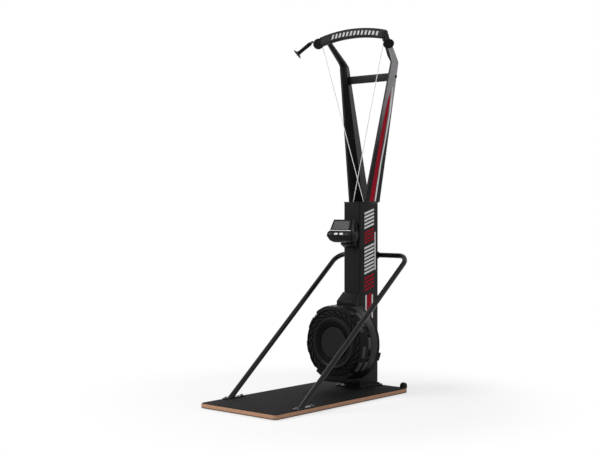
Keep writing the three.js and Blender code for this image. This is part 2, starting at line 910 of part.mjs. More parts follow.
// Cord stop ball and the handle that hangs from it
const ball = new THREE.SphereGeometry(stopBall.radius, smallFacets, smallFacets / 2);
ball.translate(ballCentre.x, ballCentre.y, ballCentre.z);
placePair("cord_stop", solidOf(ball), finish.rubber);

const handleDip = radians(handle.dip);
const handleWay = outwards.clone().multiplyScalar(Math.cos(handleDip));
handleWay.addScaledVector(axisZ, -Math.sin(handleDip));
const handleStart = ballCentre.clone().addScaledVector(handleWay, stopBall.radius + seat);
const handleSide = axleWay;
const handleFrame = new THREE.Matrix4()
  .makeBasis(handleSide, handleWay, handleSide.clone().cross(handleWay))
  .setPosition(handleStart);
const handleProfile = [
  [handle.socket, handle.socketDepth],
  [handle.socket, 0],
  [handle.neck, 0],
  [handle.shoulder, handle.shoulderAt],
  [mid(handle.shoulder, handle.waist), mid(handle.shoulderAt, handle.waistAt)],
  [handle.waist, handle.waistAt],
  [handle.cone, handle.coneAt],
  [handle.flange - handle.flangeEdge, handle.length - handle.flangeThickness],
  [handle.flange, handle.length - handle.flangeThickness / 2],
  [handle.flange - handle.flangeEdge, handle.length],
  [0, handle.length],
];
const handleBody = new THREE.LatheGeometry(
  [[0, handle.socketDepth], ...handleProfile].map(([r, y]) => new THREE.Vector2(r, y)),
  roundFacets,
);
placePair("handle_grip", solidOf(handleBody.applyMatrix4(handleFrame)), finish.rubber);

// Brace tube, cut flat on its foot plates
const braceFootZ = deck + footPlate.thickness + seat;
const braceCorner = new THREE.Vector3(braceCornerX, braceCornerY, brace.cornerZ);
const braceFoot = new THREE.Vector3(braceFootX, brace.footY, braceFootZ);
const braceMiddle = new THREE.Vector3(0, braceCornerY, brace.cornerZ);
const legWay = braceFoot.clone().sub(braceCorner).normalize();
const legEnd = braceFoot.clone().addScaledVector(legWay, 3 * brace.radius);
const rightBend = bendPoints(braceCorner, legEnd, braceMiddle, brace.bend, braceBendSteps);
const rightHalf = [legEnd, ...rightBend];
const leftHalf = rightHalf.map((v) => new THREE.Vector3(-v.x, v.y, v.z)).reverse();
const braceRoute = [...rightHalf, ...leftHalf];
const belowFeet = block(
  [-board.width, -board.length, boardBottom - brace.bend],
  [board.width, board.length, braceFootZ],
);
place(
  "support_brace",
  cut(
    tube(braceRoute, brace.radius, smallFacets),
    tube(braceRoute, brace.radius - brace.wall, smallFacets / 2),
    belowFeet,
  ),
  finish.blackPaint,
);

const footCentreY = brace.footY - footPlate.forward + footPlate.length / 2;
const footShape = roundedRectangle(
  footPlate.width,
  footPlate.length,
  footPlate.corner,
  braceFootX,
  footCentreY,
);
const footHoles = [
  footCentreY - footPlate.length / 2 + footPlate.holeInset,
  footCentreY + footPlate.length / 2 - footPlate.holeInset,
].map((y) =>
  bar("z", [braceFootX, y, 0], footPlate.hole, deck - overrun, braceFootZ + overrun, smallFacets),
);
placePair(
  "brace_foot_plate",
  cut(raised(footShape, deck, deck + footPlate.thickness), ...footHoles),
  finish.blackPaint,
);

// Saddle block and clamp strap that hold the brace to the column
const saddleZ = [brace.cornerZ - saddle.height / 2, brace.cornerZ + saddle.height / 2];
const braceBore = bar(
  "x",
  [0, braceCornerY, brace.cornerZ],
  brace.radius + seat,
  -saddle.width,
  saddle.width,
  roundFacets,
);
place(
  "brace_saddle",
  cut(
    block(
      [-saddle.width / 2, columnRear + seat, saddleZ[0]],
      [saddle.width / 2, braceCornerY - seat, saddleZ[1]],
    ),
    braceBore,
  ),
  finish.blackPaint,
);
const clampOuter = bar(
  "x",
  [0, braceCornerY, brace.cornerZ],
  brace.radius + seat + clamp.thickness,
  -clamp.width / 2,
  clamp.width / 2,
  roundFacets,
);
const clampFlange = block(
  [-clamp.width / 2, braceCornerY, saddleZ[0]],
  [clamp.width / 2, braceCornerY + saddle.ear, saddleZ[1]],
);
const clampFront = block(
  [-saddle.width, columnRear, saddleZ[0] - overrun],
  [saddle.width, braceCornerY, saddleZ[1] + overrun],
);
place("brace_clamp", cut(join(clampOuter, clampFlange), braceBore, clampFront), finish.blackPaint);

// Fan: everything here is turned about the drive shaft, with stations from the fan's front.
const fanGroup = new THREE.Group();
fanGroup.position.set(0, fanFront, fan.axisZ);
machine.add(fanGroup);
const placeFan = (name, solid, material) => place(name, solid, material, fanGroup);

function sector(inner, outer, halfAngle, fromY, toY) {
  const shape = new THREE.Shape();
  const angle = radians(halfAngle);
  shape.absarc(0, 0, outer, -angle, angle, false);
  shape.absarc(0, 0, inner, angle, -angle, true);
  return new THREE.ExtrudeGeometry(shape, {
    depth: toY - fromY,
    bevelEnabled: false,
    curveSegments: cornerFacets,
  })
    .rotateX(Math.PI / 2)
    .translate(0, toY, 0);
}

const w = cover.wall;
const coverFront = [
  [cover.capHole, cover.floor],
  [cover.floorRadius, cover.floor],
  [cover.coneRadius, cover.coneTop],
  [cover.ringInner, 0],
  [cover.ringOuter, 0],
  [cover.ringFoot, cover.shoulderIn],
  [cover.louvreOuter, cover.shoulderOut],
  [cover.grooveInner, cover.groove],
  [cover.grooveOuter, cover.groove],
  [cover.rimInner, cover.rimTop],
  [cover.rimOuter, cover.rimTop],
  [cover.rimRadius, cover.rimSide],
  [cover.radius, cover.depth],
];
const coverBack = [
  [cover.radius - w, cover.depth],
  [cover.rimRadius, cover.groove + w],
  [cover.grooveInner - w, cover.groove + w],
  [cover.louvreOuter - w, cover.shoulderOut + w],
  [cover.ringFoot - w, cover.shoulderIn + w],
  [cover.coneRadius + w, cover.coneTop + 2 * w],
  [cover.floorRadius, cover.floor + w],
  [cover.capHole, cover.floor + w],
];
// A louvre slot: it leans round the axis as it runs outwards.
function louvreTool(turn) {
  const lean = radians(louvre.turn);
  const half = louvre.width / 2;
  const lowX = cover.louvreInner;
  const highX = (cover.louvreOuter - half) * Math.cos(lean);
  const highZ = (cover.louvreOuter - half) * Math.sin(lean);
  const across = new THREE.Vector2(highX - lowX, highZ).normalize().rotateAround(
    new THREE.Vector2(),
    Math.PI / 2,
  );
  const points = [
    [lowX - across.x * half, -across.y * half],
    [highX - across.x * half, highZ - across.y * half],
    [highX + across.x * half, highZ + across.y * half],
    [lowX + across.x * half, across.y * half],
  ];
  const geometry = new THREE.ExtrudeGeometry(outline(points), {
    depth: cover.depth + overrun,
    bevelEnabled: false,
  });
  return solidOf(geometry.rotateX(Math.PI / 2).translate(0, cover.depth, 0).rotateY(turn));
}
// The housing is round but for a flat roof, which carries the neck cover.
function withFlatRoof(solid, filled, from, to) {
  const reach = cover.radius + drum.radius;
  const above = block([-reach, from - overrun, fan.flatTop], [reach, to + overrun, reach]);
  const slab = block([-reach, from, fan.flatTop - fan.roof], [reach, to, fan.flatTop]);
  return solid.subtract(above).add(filled.intersect(slab));
}
const filledCone = solidOf(
  turned(
    [
      [0, cover.rimSide],
      [cover.rimRadius, cover.rimSide],
      [cover.radius, cover.depth],
      [0, cover.depth],
    ],
    fineFacets,
  ),
);
function around(count, make) {
  return Array.from({ length: count }, (_, i) => make((2 * Math.PI * i) / count));
}
placeFan(
  "fan_front_cover",
  cut(
    withFlatRoof(
      solidOf(turned([...coverFront, ...coverBack], fineFacets)),
      filledCone,
      cover.groove + w,
      cover.depth,
    ),
    ...around(louvre.count, louvreTool),
  ),
  finish.blackPlastic,
);

placeFan(
  "fan_centre_cap",
  solidOf(
    turned(
      [
        [0, cap.front],
        [cap.radius - cap.edge, cap.front],
        [cap.radius, cap.front + cap.edge],
        [cap.radius, cover.floor - seat],
        [cap.spigot, cover.floor - seat],
        [cap.spigot, cover.floor + cap.spigotDepth],
        [0, cover.floor + cap.spigotDepth],
      ],
      wideFacets,
    ),
  ),
  finish.greyPlastic,
);

// Outlet grille: a band of slots between the front cover and the rear drum.
const grilleFrom = cover.depth + seat;
const grilleTo = grilleFrom + grille.depth;
const grilleFacets = grille.count * 2;
const slotHalf = (180 / grille.count) * (1 - (grille.bar * grille.count) / (2 * Math.PI * cover.radius));
const grilleBand = (inner) =>
  turned(
    [
      [inner, grilleFrom],
      [cover.radius, grilleFrom],
      [cover.radius, grilleTo],
      [inner, grilleTo],
    ],
    grilleFacets,
  );
placeFan(
  "outlet_grille",
  cut(
    withFlatRoof(
      solidOf(grilleBand(cover.radius - grille.wall)),
      solidOf(grilleBand(0)),
      grilleFrom,
      grilleTo,
    ),
    ...around(grille.count, (turn) =>
      solidOf(
        sector(
          cover.radius - 2 * overrun,
          cover.radius + overrun,
          slotHalf,
          grilleFrom + grille.end,
          grilleTo - grille.end,
        ).rotateY(turn),
      ),
    ),
  ),
  finish.blackPlastic,
);

// Rear drum: a wide band with a vented back wall and a boss for the front bearing.
const drumFrom = grilleTo + seat;
const drumTo = drumFrom + drum.depth;
const ventTools = (fromY, toY) =>
  around(vent.count, (turn) =>
    solidOf(sector(vent.inner, vent.outer, vent.halfAngle, fromY, toY).rotateY(turn)),
  );
const drumOutside = [
  [drum.radius - drum.edge, drumFrom],
  [drum.radius, drumFrom + drum.edge],
  [drum.radius, drumTo - drum.edge],
  [drum.radius - drum.edge, drumTo],
];
placeFan(
  "fan_rear_housing",
  cut(
    withFlatRoof(
      solidOf(
        turned(
          [
            [cover.rimRadius, drumFrom],
            ...drumOutside,
            [drum.bore + seat, drumTo],
            [drum.bore + seat, drumTo - drum.wall],
            [drum.radius - drum.edge - drum.wall, drumTo - drum.wall],
            [drum.radius - drum.wall, drumTo - drum.edge - drum.wall],
            [drum.radius - drum.wall, drumFrom + drum.lip],
            [cover.rimRadius, drumFrom + drum.lip],
          ],
          fineFacets,
        ),
      ),
      solidOf(turned([[0, drumFrom], ...drumOutside, [0, drumTo]], fineFacets)),
      drumFrom,
      drumTo,
    ),
    ...ventTools(drumTo - drum.wall - overrun, drumTo + overrun),
  ),
  finish.blackPlastic,
);

// Damper: a vented disc that turns on the mount hub, with a lever beyond the drum.
const damperFrom = drumTo + damper.gap;
const damperTo = damperFrom + damper.thickness;
const leverMiddle = radians(-damper.leverAngle);
const lever = sector(
  damper.radius - overrun,
  damper.leverRadius,
  damper.leverHalfAngle,
  damperFrom,
  damperTo,
).rotateY(leverMiddle);
const leverLip = sector(
  damper.leverRadius - damper.thickness,
  damper.leverRadius,
  damper.leverHalfAngle,
  damperFrom,
  damperTo + damper.leverLip,
).rotateY(leverMiddle);
placeFan(
  "air_damper",
  cut(
    join(
      solidOf(
        turned(
          [
            [mountHub.radius, damperFrom],
            [damper.radius, damperFrom],
            [damper.radius, damperTo],
            [mountHub.radius, damperTo],
          ],
          fineFacets,
        ),
      ),
      solidOf(lever),
      solidOf(leverLip),
    ),
    ...ventTools(damperFrom - overrun, damperTo + overrun),
  ),
  finish.greyPlastic,
);

// Mount hub: carries the housing and the front bearing on the column's front face.
const hubTo = columnFront - seat - fanFront;
const hubFrom = drumTo + seat;
const bearingFrom = bearing.frontAt;
const bearingTo = bearingFrom + bearing.width;
const hubFlange = roundedRectangle(mountHub.flange, mountHub.flange, mountHub.corner);
placeFan(
  "fan_mount_hub",
  cut(
    join(
      bar("y", [0, 0, 0], mountHub.radius - running, hubFrom, hubTo, wideFacets),
      facing(hubFlange, hubTo - mountHub.flangeThickness, hubTo),
    ),
    bar("y", [0, 0, 0], bearing.radius + seat, hubFrom - overrun, hubTo + overrun, roundFacets),
  ),
  finish.blackPaint,
);

// Flywheel: a rimmed plate with leaning blades on its front and a long hub.
function blade(turn) {
  const lean = radians(flywheel.bladeTurn);
  const half = flywheel.bladeWidth / 2;
  const tipRadius = flywheel.radius - flywheel.rim / 2;
  const tip = [tipRadius * Math.cos(lean), tipRadius * Math.sin(lean)];
  const across = new THREE.Vector2(tip[0] - flywheel.bladeInner, tip[1]).normalize();
  const [ax, az] = [-across.y * half, across.x * half];
  const geometry = new THREE.ExtrudeGeometry(
    outline([
      [flywheel.bladeInner - ax, -az],
      [tip[0] - ax, tip[1] - az],
      [tip[0] + ax, tip[1] + az],
      [flywheel.bladeInner + ax, az],
    ]),
    { depth: flywheel.plateAt + flywheel.plate / 2 - flywheel.front, bevelEnabled: false },
  );
  geometry.rotateX(Math.PI / 2).translate(0, flywheel.plateAt + flywheel.plate / 2, 0);
  return solidOf(geometry.rotateY(turn));
}
const plateTo = flywheel.plateAt + flywheel.plate;
const wheelDisc = turned(
  [
    [shaft.radius + seat, flywheel.plateAt - flywheel.hubDepth / 2],
    [flywheel.hub, flywheel.plateAt - flywheel.hubDepth / 2],
    [flywheel.hub, flywheel.plateAt],
    [flywheel.radius, flywheel.plateAt],
    [flywheel.radius, plateTo + flywheel.rim],
    [flywheel.radius - flywheel.rim, plateTo + flywheel.rim],
    [flywheel.radius - flywheel.rim, plateTo],
    [flywheel.hub, plateTo],
    [flywheel.hub, flywheel.plateAt + flywheel.hubDepth / 2],
    [shaft.radius + seat, flywheel.plateAt + flywheel.hubDepth / 2],
  ],
  wideFacets,
);
placeFan(
  "flywheel_fan",
  join(solidOf(wheelDisc), ...around(flywheel.bladeCount, blade)),
  finish.steel,
);

// Drive shaft and its bearings
const shaftTo = columnRear + shaft.behind - fanFront;
placeFan("drive_shaft", bar("y", [0, 0, 0], shaft.radius, shaft.front, shaftTo, smallFacets), finish.steel);
placeFan(
  "front_bearing",
  cut(
    bar("y", [0, 0, 0], bearing.radius, bearingFrom, bearingTo, roundFacets),
    bar("y", [0, 0, 0], shaft.radius + seat, bearingFrom - overrun, bearingTo + overrun, smallFacets),
  ),
  finish.steel,
);
const rearWallInside = columnRear - column.wall - seat - fanFront;
placeFan(
  "rear_bearing",
  solidOf(
    turned(
      [
        [shaft.radius + seat, rearWallInside - bearing.flangeDepth],
        [bearing.flange, rearWallInside - bearing.flangeDepth],
        [bearing.flange, rearWallInside],
        [bearing.radius, rearWallInside],
        [bearing.radius, rearWallInside + column.wall],
        [shaft.radius + seat, rearWallInside + column.wall],
      ],
      roundFacets,
    ),
  ),
  finish.steel,
);

// Cord reels with one-way clutches in their bores, and a rewind spring case by each
for (const { word, sign } of sides) {
  const centre = reelY[word] - fanFront;
  const half = reel.width / 2;
  const from = centre - half;
  const to = centre + half;
  placeFan(
    `${word}_cord_reel`,
    solidOf(
      turned(
        [
          [clutch.radius + seat, from],
          [reel.flange, from],
          [reel.flange, from + reel.flangeWidth],
          [reel.barrel, from + reel.flangeWidth],
          [reel.barrel, to - reel.flangeWidth],
          [reel.flange, to - reel.flangeWidth],
          [reel.flange, to],
          [clutch.radius + seat, to],
        ],
        roundFacets,
      ),
    ),
    finish.greyPlastic,
  );
  placeFan(
    `${word}_one_way_clutch`,
    cut(
      bar("y", [0, 0, 0], clutch.radius, centre - clutch.width / 2, centre + clutch.width / 2, roundFacets),
      bar("y", [0, 0, 0], shaft.radius + seat, from, to, smallFacets),
    ),
    finish.steel,
  );
  const caseFrom = sign > 0 ? from - springCase.gap - springCase.depth : to + springCase.gap;
  const caseWidth = column.width - 2 * column.wall - 2 * seat;
  placeFan(
    `${word}_rewind_spring_case`,
    cut(
      facing(
        roundedRectangle(caseWidth, springCase.height, springCase.corner),
        caseFrom,
        caseFrom + springCase.depth,
      ),
      bar(
        "y",
        [0, 0, 0],
        springCase.bore,
        caseFrom - overrun,
        caseFrom + springCase.depth + overrun,
        smallFacets,
      ),
    ),
    finish.zinc,
  );
}

// Neck cover: a sloping hood from the column down to the top of the fan.
const neckFace = columnFront - seat;
const roofZ = fan.axisZ + fan.flatTop + seat;
const neckSide = (inset, past) =>
  outline([
    [neckFace + past, neck.top - inset],
    [neckFace - neck.edge - inset, neck.top - inset],
    [neckFace - neck.front + inset, roofZ + neck.foot],
    [neckFace - neck.front + inset, roofZ - past],
    [neckFace + past, roofZ - past],
  ]);
place(
  "fan_neck_cover",
  cut(
    sideways(neckSide(0, 0), -neck.width / 2, neck.width / 2),
    sideways(neckSide(neck.wall, overrun), -neck.width / 2 + neck.wall, neck.width / 2 - neck.wall),
  ),
  finish.blackPlastic,
);

// Console
function consoleRing(z, front, rear, half, inset) {
  const [x, f, r] = [half - inset, front + inset, rear - (inset > 0 ? -overrun : 0)];
  const c = console_.corner;
  return [
    [-x + c, f, z],
    [x - c, f, z],
    [x, f + c, z],
    [x, r, z],
    [-x, r, z],
    [-x, f + c, z],
  ];
}
const consoleLevels = [
  [console_.bottomZ, columnFront - console_.bottomAhead, console_.bottomHalf],
  [console_.chinZ, columnFront - console_.chinAhead, console_.chinHalf],
  [console_.noseZ, columnFront - console_.noseAhead, console_.noseHalf],
  [console_.ridgeZ, columnFront - console_.ridgeAhead, console_.ridgeHalf],
  [console_.screenZ, columnFront - console_.screenAhead, console_.screenHalf],
  [console_.topZ, columnFront - console_.topAhead, console_.topHalf],
];
const consoleShell = loft(
  consoleLevels.map(([z, front, half]) => consoleRing(z, front, consoleSplit, half, 0)),
);
const consoleHollow = loft(
  consoleLevels.map(([z, front, half], i) => {
    const inset = i === 0 ? console_.wall : i === consoleLevels.length - 1 ? -console_.wall : 0;
    return consoleRing(z + inset, front, consoleSplit, half, console_.wall);
  }),
);

// The screen plane, in a frame with X across, local Y into the console and Z up the glass
const screenRise = console_.topZ - console_.screenZ;
const screenSlant = console_.screenAhead - console_.topAhead;
const screenLean = Math.atan2(screenSlant, screenRise);
const screenLength = Math.hypot(screenRise, screenSlant);
const screenFrame = new THREE.Matrix4()
  .makeRotationX(-screenLean)
  .setPosition(0, columnFront - console_.screenAhead, console_.screenZ);
function screenShape(grow) {
  const [low, high] = [screen.bottom - grow, screenLength - screen.top + grow];
  return outline([
    [-screen.halfBottom - grow, low],
    [screen.halfBottom + grow, low],
    [screen.halfTop + grow, high],
    [-screen.halfTop - grow, high],
  ]);
}
function screenPlate(grow, from, to) {
  const geometry = new THREE.ExtrudeGeometry(screenShape(grow), {
    depth: to - from,
    bevelEnabled: false,
  });
  geometry.rotateX(Math.PI / 2).translate(0, to, 0);
  return solidOf(geometry.applyMatrix4(screenFrame));
}
const lensFrom = screen.recess - screen.thickness;
const screenPocket = screenPlate(seat, -overrun, screen.recess + seat);
const screenWindow = screenPlate(-screen.window, 0, console_.wall + overrun);

// Buttons sit in holes of the band between nose and ridge.
const bandRise = console_.ridgeZ - console_.noseZ;
const bandLean = Math.atan2(console_.noseAhead - console_.ridgeAhead, bandRise);
const buttonX = (i) => (i - (buttonCount - 1) / 2) * button.pitch;
function buttonFrame(i) {
  const z = mid(console_.noseZ, console_.ridgeZ);
  const y = mid(columnFront - console_.noseAhead, columnFront - console_.ridgeAhead);
  return new THREE.Matrix4().makeRotationX(-bandLean).setPosition(buttonX(i), y, z);
}
function buttonSlab(grow, from, to, i) {
  const shape = roundedRectangle(button.width + 2 * grow, button.height + 2 * grow, button.corner + grow);
  const geometry = new THREE.ExtrudeGeometry(shape, {
    depth: to - from,
    bevelEnabled: false,
    curveSegments: cornerFacets,
  });
  geometry.rotateX(Math.PI / 2).translate(0, to, 0);
  return solidOf(geometry.applyMatrix4(buttonFrame(i)));
}
const flangeFrom = console_.wall + seat;
const flangeTo = flangeFrom + button.flangeDepth;
const buttonIndices = Array.from({ length: buttonCount }, (_, i) => i);
const placeConsole = (name, solid, material) => place(name, solid, material);
const buttonWell = (i) => buttonSlab(button.flange + running, console_.wall, button.stem + overrun, i);
placeConsole(
  "console_front_case",
  cut(
    consoleShell,
    consoleHollow,
    screenPocket,
    screenWindow,
    ...buttonIndices.map((i) => buttonSlab(button.side, -overrun, console_.wall + overrun, i)),
    ...buttonIndices.map(buttonWell),
  ),
  finish.blackPlastic,
);
placeConsole("console_screen_lens", screenPlate(0, lensFrom, screen.recess), finish.lens);
const buttonNames = ["reset", "mode", "start", "units"];
for (const i of buttonIndices) {
  placeConsole(
    `console_${buttonNames[i]}_button`,
    join(
      buttonSlab(0, -button.proud, flangeTo, i),
      buttonSlab(button.flange, flangeFrom, flangeTo, i),
    ),
    i === 1 || i === 2 ? finish.buttonWhite : finish.greyPlastic,
  );
}
place(
  "console_circuit_board",
  block(
    [
      -circuitBoard.width / 2,
      consoleSplit - circuitBoard.thickness,
      circuitBoard.z - circuitBoard.height / 2,
    ],
    [
      circuitBoard.width / 2,
      consoleSplit,
      circuitBoard.z + circuitBoard.height / 2,
    ],
  ),
  finish.circuitGreen,
);

// Rear case with its hinge knuckle
const rearFrom = consoleSplit + seat;
const rearTo = rearFrom + rearCase.depth;
function rearRing(y, inset) {
  const low = console_.bottomZ + inset;
  const high = console_.topZ - inset;
  return [
    [-console_.bottomHalf + inset, y, low],
    [console_.bottomHalf - inset, y, low],
    [console_.chinHalf - inset, y, console_.chinZ + inset / 2],
    [console_.noseHalf - inset, y, console_.noseZ],
    [console_.ridgeHalf - inset, y, console_.ridgeZ],
    [console_.topHalf - inset, y, high],
    [-console_.topHalf + inset, y, high],
    [-console_.ridgeHalf + inset, y, console_.ridgeZ],
    [-console_.noseHalf + inset, y, console_.noseZ],
    [-console_.chinHalf + inset, y, console_.chinZ + inset / 2],
  ].reverse();
}
const knuckleHalf = hinge.knuckle / 2;
const hingeCentre = [0, hingeY, hinge.z];
const knuckle = join(
  bar("x", hingeCentre, hinge.radius, -knuckleHalf, knuckleHalf, roundFacets),
  block(
    [-knuckleHalf, rearFrom, hinge.z - hinge.radius / 2],
    [knuckleHalf, hingeY, hinge.z + hinge.radius],
  ),
);
const hingeBore = (grow) =>
  bar("x", hingeCentre, hinge.pin + grow, -bracket.plateWidth, bracket.plateWidth, smallFacets);
place(
  "console_rear_case",
  cut(join(loft([rearRing(rearFrom, 0), rearRing(rearTo, rearCase.taper)]), knuckle), hingeBore(seat)),
  finish.blackPlastic,
);

// Bracket: a plate on the column with an arm that ends in two ears round the knuckle
const bracketRear = columnFront - seat;
const plateTop = hinge.z + hinge.radius + bracket.corner;
const plateBottom = plateTop - bracket.plateHeight;
const earHalf = knuckleHalf + running + hinge.ear;
const armSide = outline([
  [bracketRear, plateTop],
  [hingeY, hinge.z + hinge.radius],
  [hingeY - hinge.radius, hinge.z],
  [hingeY, hinge.z - hinge.radius],
  [bracketRear, plateBottom + bracket.corner],
]);
const bracketPlate = block(
  [-bracket.plateWidth / 2, bracketRear - bracket.plateThickness, plateBottom],
  [bracket.plateWidth / 2, bracketRear, plateTop],
);
const shroudSide = outline([
  [bracketRear, shroud.lowZ],
  [columnFront - shroud.foot, shroud.lowZ],
  [columnFront - shroud.lipAhead, shroud.lipZ],
  [columnFront - shroud.lipAhead, shroud.lipZ + shroud.edge],
  [columnFront - shroud.backAhead, shroud.topZ],
  [bracketRear, shroud.topZ],
]);
const betweenEars = block(
  [-knuckleHalf - running, hingeY - hinge.radius - overrun, plateBottom - overrun],
  [knuckleHalf + running, bracketRear - bracket.plateThickness, plateTop + overrun],
);
place(
  "console_bracket",
  cut(
    join(
      cut(sideways(armSide, -earHalf, earHalf), betweenEars),
      bracketPlate,
      sideways(shroudSide, -shroud.half, shroud.half),
    ),
    hingeBore(seat),
  ),
  finish.blackPaint,
);
const pinHalf = earHalf + seat;
const pinProfile = [
  [0, -pinHalf - hinge.headDepth],
  [hinge.pinHead, -pinHalf - hinge.headDepth],
  [hinge.pinHead, -pinHalf],
  [hinge.pin, -pinHalf],
  [hinge.pin, pinHalf],
  [hinge.pinHead, pinHalf],
  [hinge.pinHead, pinHalf + hinge.headDepth],
  [0, pinHalf + hinge.headDepth],
];
place(
  "console_hinge_pin",
  solidOf(turned(pinProfile, smallFacets).rotateZ(-Math.PI / 2).translate(0, hingeY, hinge.z)),
  finish.steel,
);

// Tipping wheels in notches of the board's rear corners, on the stub axles of one bracket
const wheelFrom = wheelX - wheel.width / 2;
const wheelTo = wheelX + wheel.width / 2;
const wheelProfile = [
  [wheel.axle + running, -wheel.width / 2],
  [wheel.radius - wheel.tread, -wheel.width / 2],
  [wheel.radius, -wheel.width / 2 + wheel.tread],
  [wheel.radius, wheel.width / 2 - wheel.tread],
  [wheel.radius - wheel.tread, wheel.width / 2],
  [wheel.axle + running, wheel.width / 2],
];
placePair(
  "tipping_wheel",
  solidOf(turned(wheelProfile, roundFacets).rotateZ(-Math.PI / 2).translate(wheelX, wheelY, wheel.z)),
  finish.rubber,
);
const axleStart = wheelFrom - running;
const earFrom = axleStart - wheelBracket.ear;
const axleEnd = wheelTo + running;
const bracketFront = board.length + seat;
function stubAxle(sign) {
  const along = (from, to) => [Math.min(sign * from, sign * to), Math.max(sign * from, sign * to)];
  const [earLow, earHigh] = along(earFrom, axleStart);
  const round = (radius, from, to, facets) =>
    bar("x", [0, wheelY, wheel.z], radius, ...along(from, to), facets);
  return join(
    block([earLow, bracketFront, boardBottom], [earHigh, wheelY + wheelBracket.earRadius, wheel.z]),
    round(wheelBracket.earRadius, earFrom, axleStart, roundFacets),
    round(wheel.axle, earFrom, axleEnd, smallFacets),
    round(wheelBracket.retainer, axleEnd, axleEnd + wheelBracket.retainerDepth, smallFacets),
  );
}
place(
  "rear_wheel_bracket",
  join(
    block(
      [-axleStart, bracketFront, boardBottom],
      [axleStart, bracketFront + wheelBracket.thickness, boardTop],
    ),
    stubAxle(-1),
    stubAxle(1),
  ),
  finish.blackPaint,
);

// The origin goes to the floor under the middle of the machine's box.
machine.updateMatrixWorld(true);
const box = new THREE.Box3().setFromObject(machine, true);
const centre = box.getCenter(new THREE.Vector3());
machine.position.set(-centre.x, -centre.y, -box.min.z);

export default machine;
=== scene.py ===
# The looks of the ski trainer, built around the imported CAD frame.
# Lengths are millimetres on the machine: X to the user's right, Y from the platform's
# front edge towards the column, Z up. W() turns them into the frame's metres.
from math import atan2, cos, degrees, hypot, pi, radians, sin, sqrt, tan

import bmesh
import bpy
from mathutils import Matrix, Vector


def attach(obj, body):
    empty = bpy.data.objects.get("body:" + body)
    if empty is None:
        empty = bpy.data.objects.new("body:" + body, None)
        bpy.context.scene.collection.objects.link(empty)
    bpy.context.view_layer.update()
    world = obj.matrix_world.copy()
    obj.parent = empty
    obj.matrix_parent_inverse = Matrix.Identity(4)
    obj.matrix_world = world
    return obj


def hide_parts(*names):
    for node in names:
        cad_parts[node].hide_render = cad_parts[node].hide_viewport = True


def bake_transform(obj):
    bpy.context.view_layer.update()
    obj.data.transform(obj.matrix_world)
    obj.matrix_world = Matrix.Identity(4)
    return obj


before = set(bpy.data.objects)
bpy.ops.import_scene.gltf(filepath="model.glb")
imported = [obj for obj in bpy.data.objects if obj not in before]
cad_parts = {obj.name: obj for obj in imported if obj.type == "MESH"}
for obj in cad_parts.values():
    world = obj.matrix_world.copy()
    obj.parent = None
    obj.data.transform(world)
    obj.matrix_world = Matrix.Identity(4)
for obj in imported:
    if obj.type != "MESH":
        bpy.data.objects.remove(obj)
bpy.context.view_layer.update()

SIDES = (("right", 1), ("left", -1))
RIGHT, REARWARD, UP = Vector((1, 0, 0)), Vector((0, 1, 0)), Vector((0, 0, 1))
MIDDLE_Y = 642.15  # the frame's origin, half-way along the machine
SHAFT_Y, SHAFT_Z = 857, 325  # the drive shaft, where it meets the fan's front
BOARD_HALF, BOARD_LENGTH = 300, 1242
COLUMN_HALF, COLUMN_FRONT, COLUMN_BACK = 64, 1044, 1238
BASE_TOP, HEAD_TOP = 40.9, 1205.5  # upper faces of the column's base and head plates


def W(x, y, z):
    return Vector((x / 1000, (y - MIDDLE_Y) / 1000, z / 1000))


def add_object(name, data):
    obj = bpy.data.objects.new(name, data)
    bpy.context.collection.objects.link(obj)
    return obj


# Camera, at the photograph's place
camera_data = bpy.data.cameras.new("camera")
camera_data.lens = 67.93
camera_data.sensor_width = 36
camera_data.sensor_fit = "HORIZONTAL"
camera = add_object("camera", camera_data)
camera.location = W(4467.4, -4568.5, 1183.2)
camera.rotation_euler = (radians(90 - 1.095), 0, radians(41.131))
bpy.context.scene.camera = camera


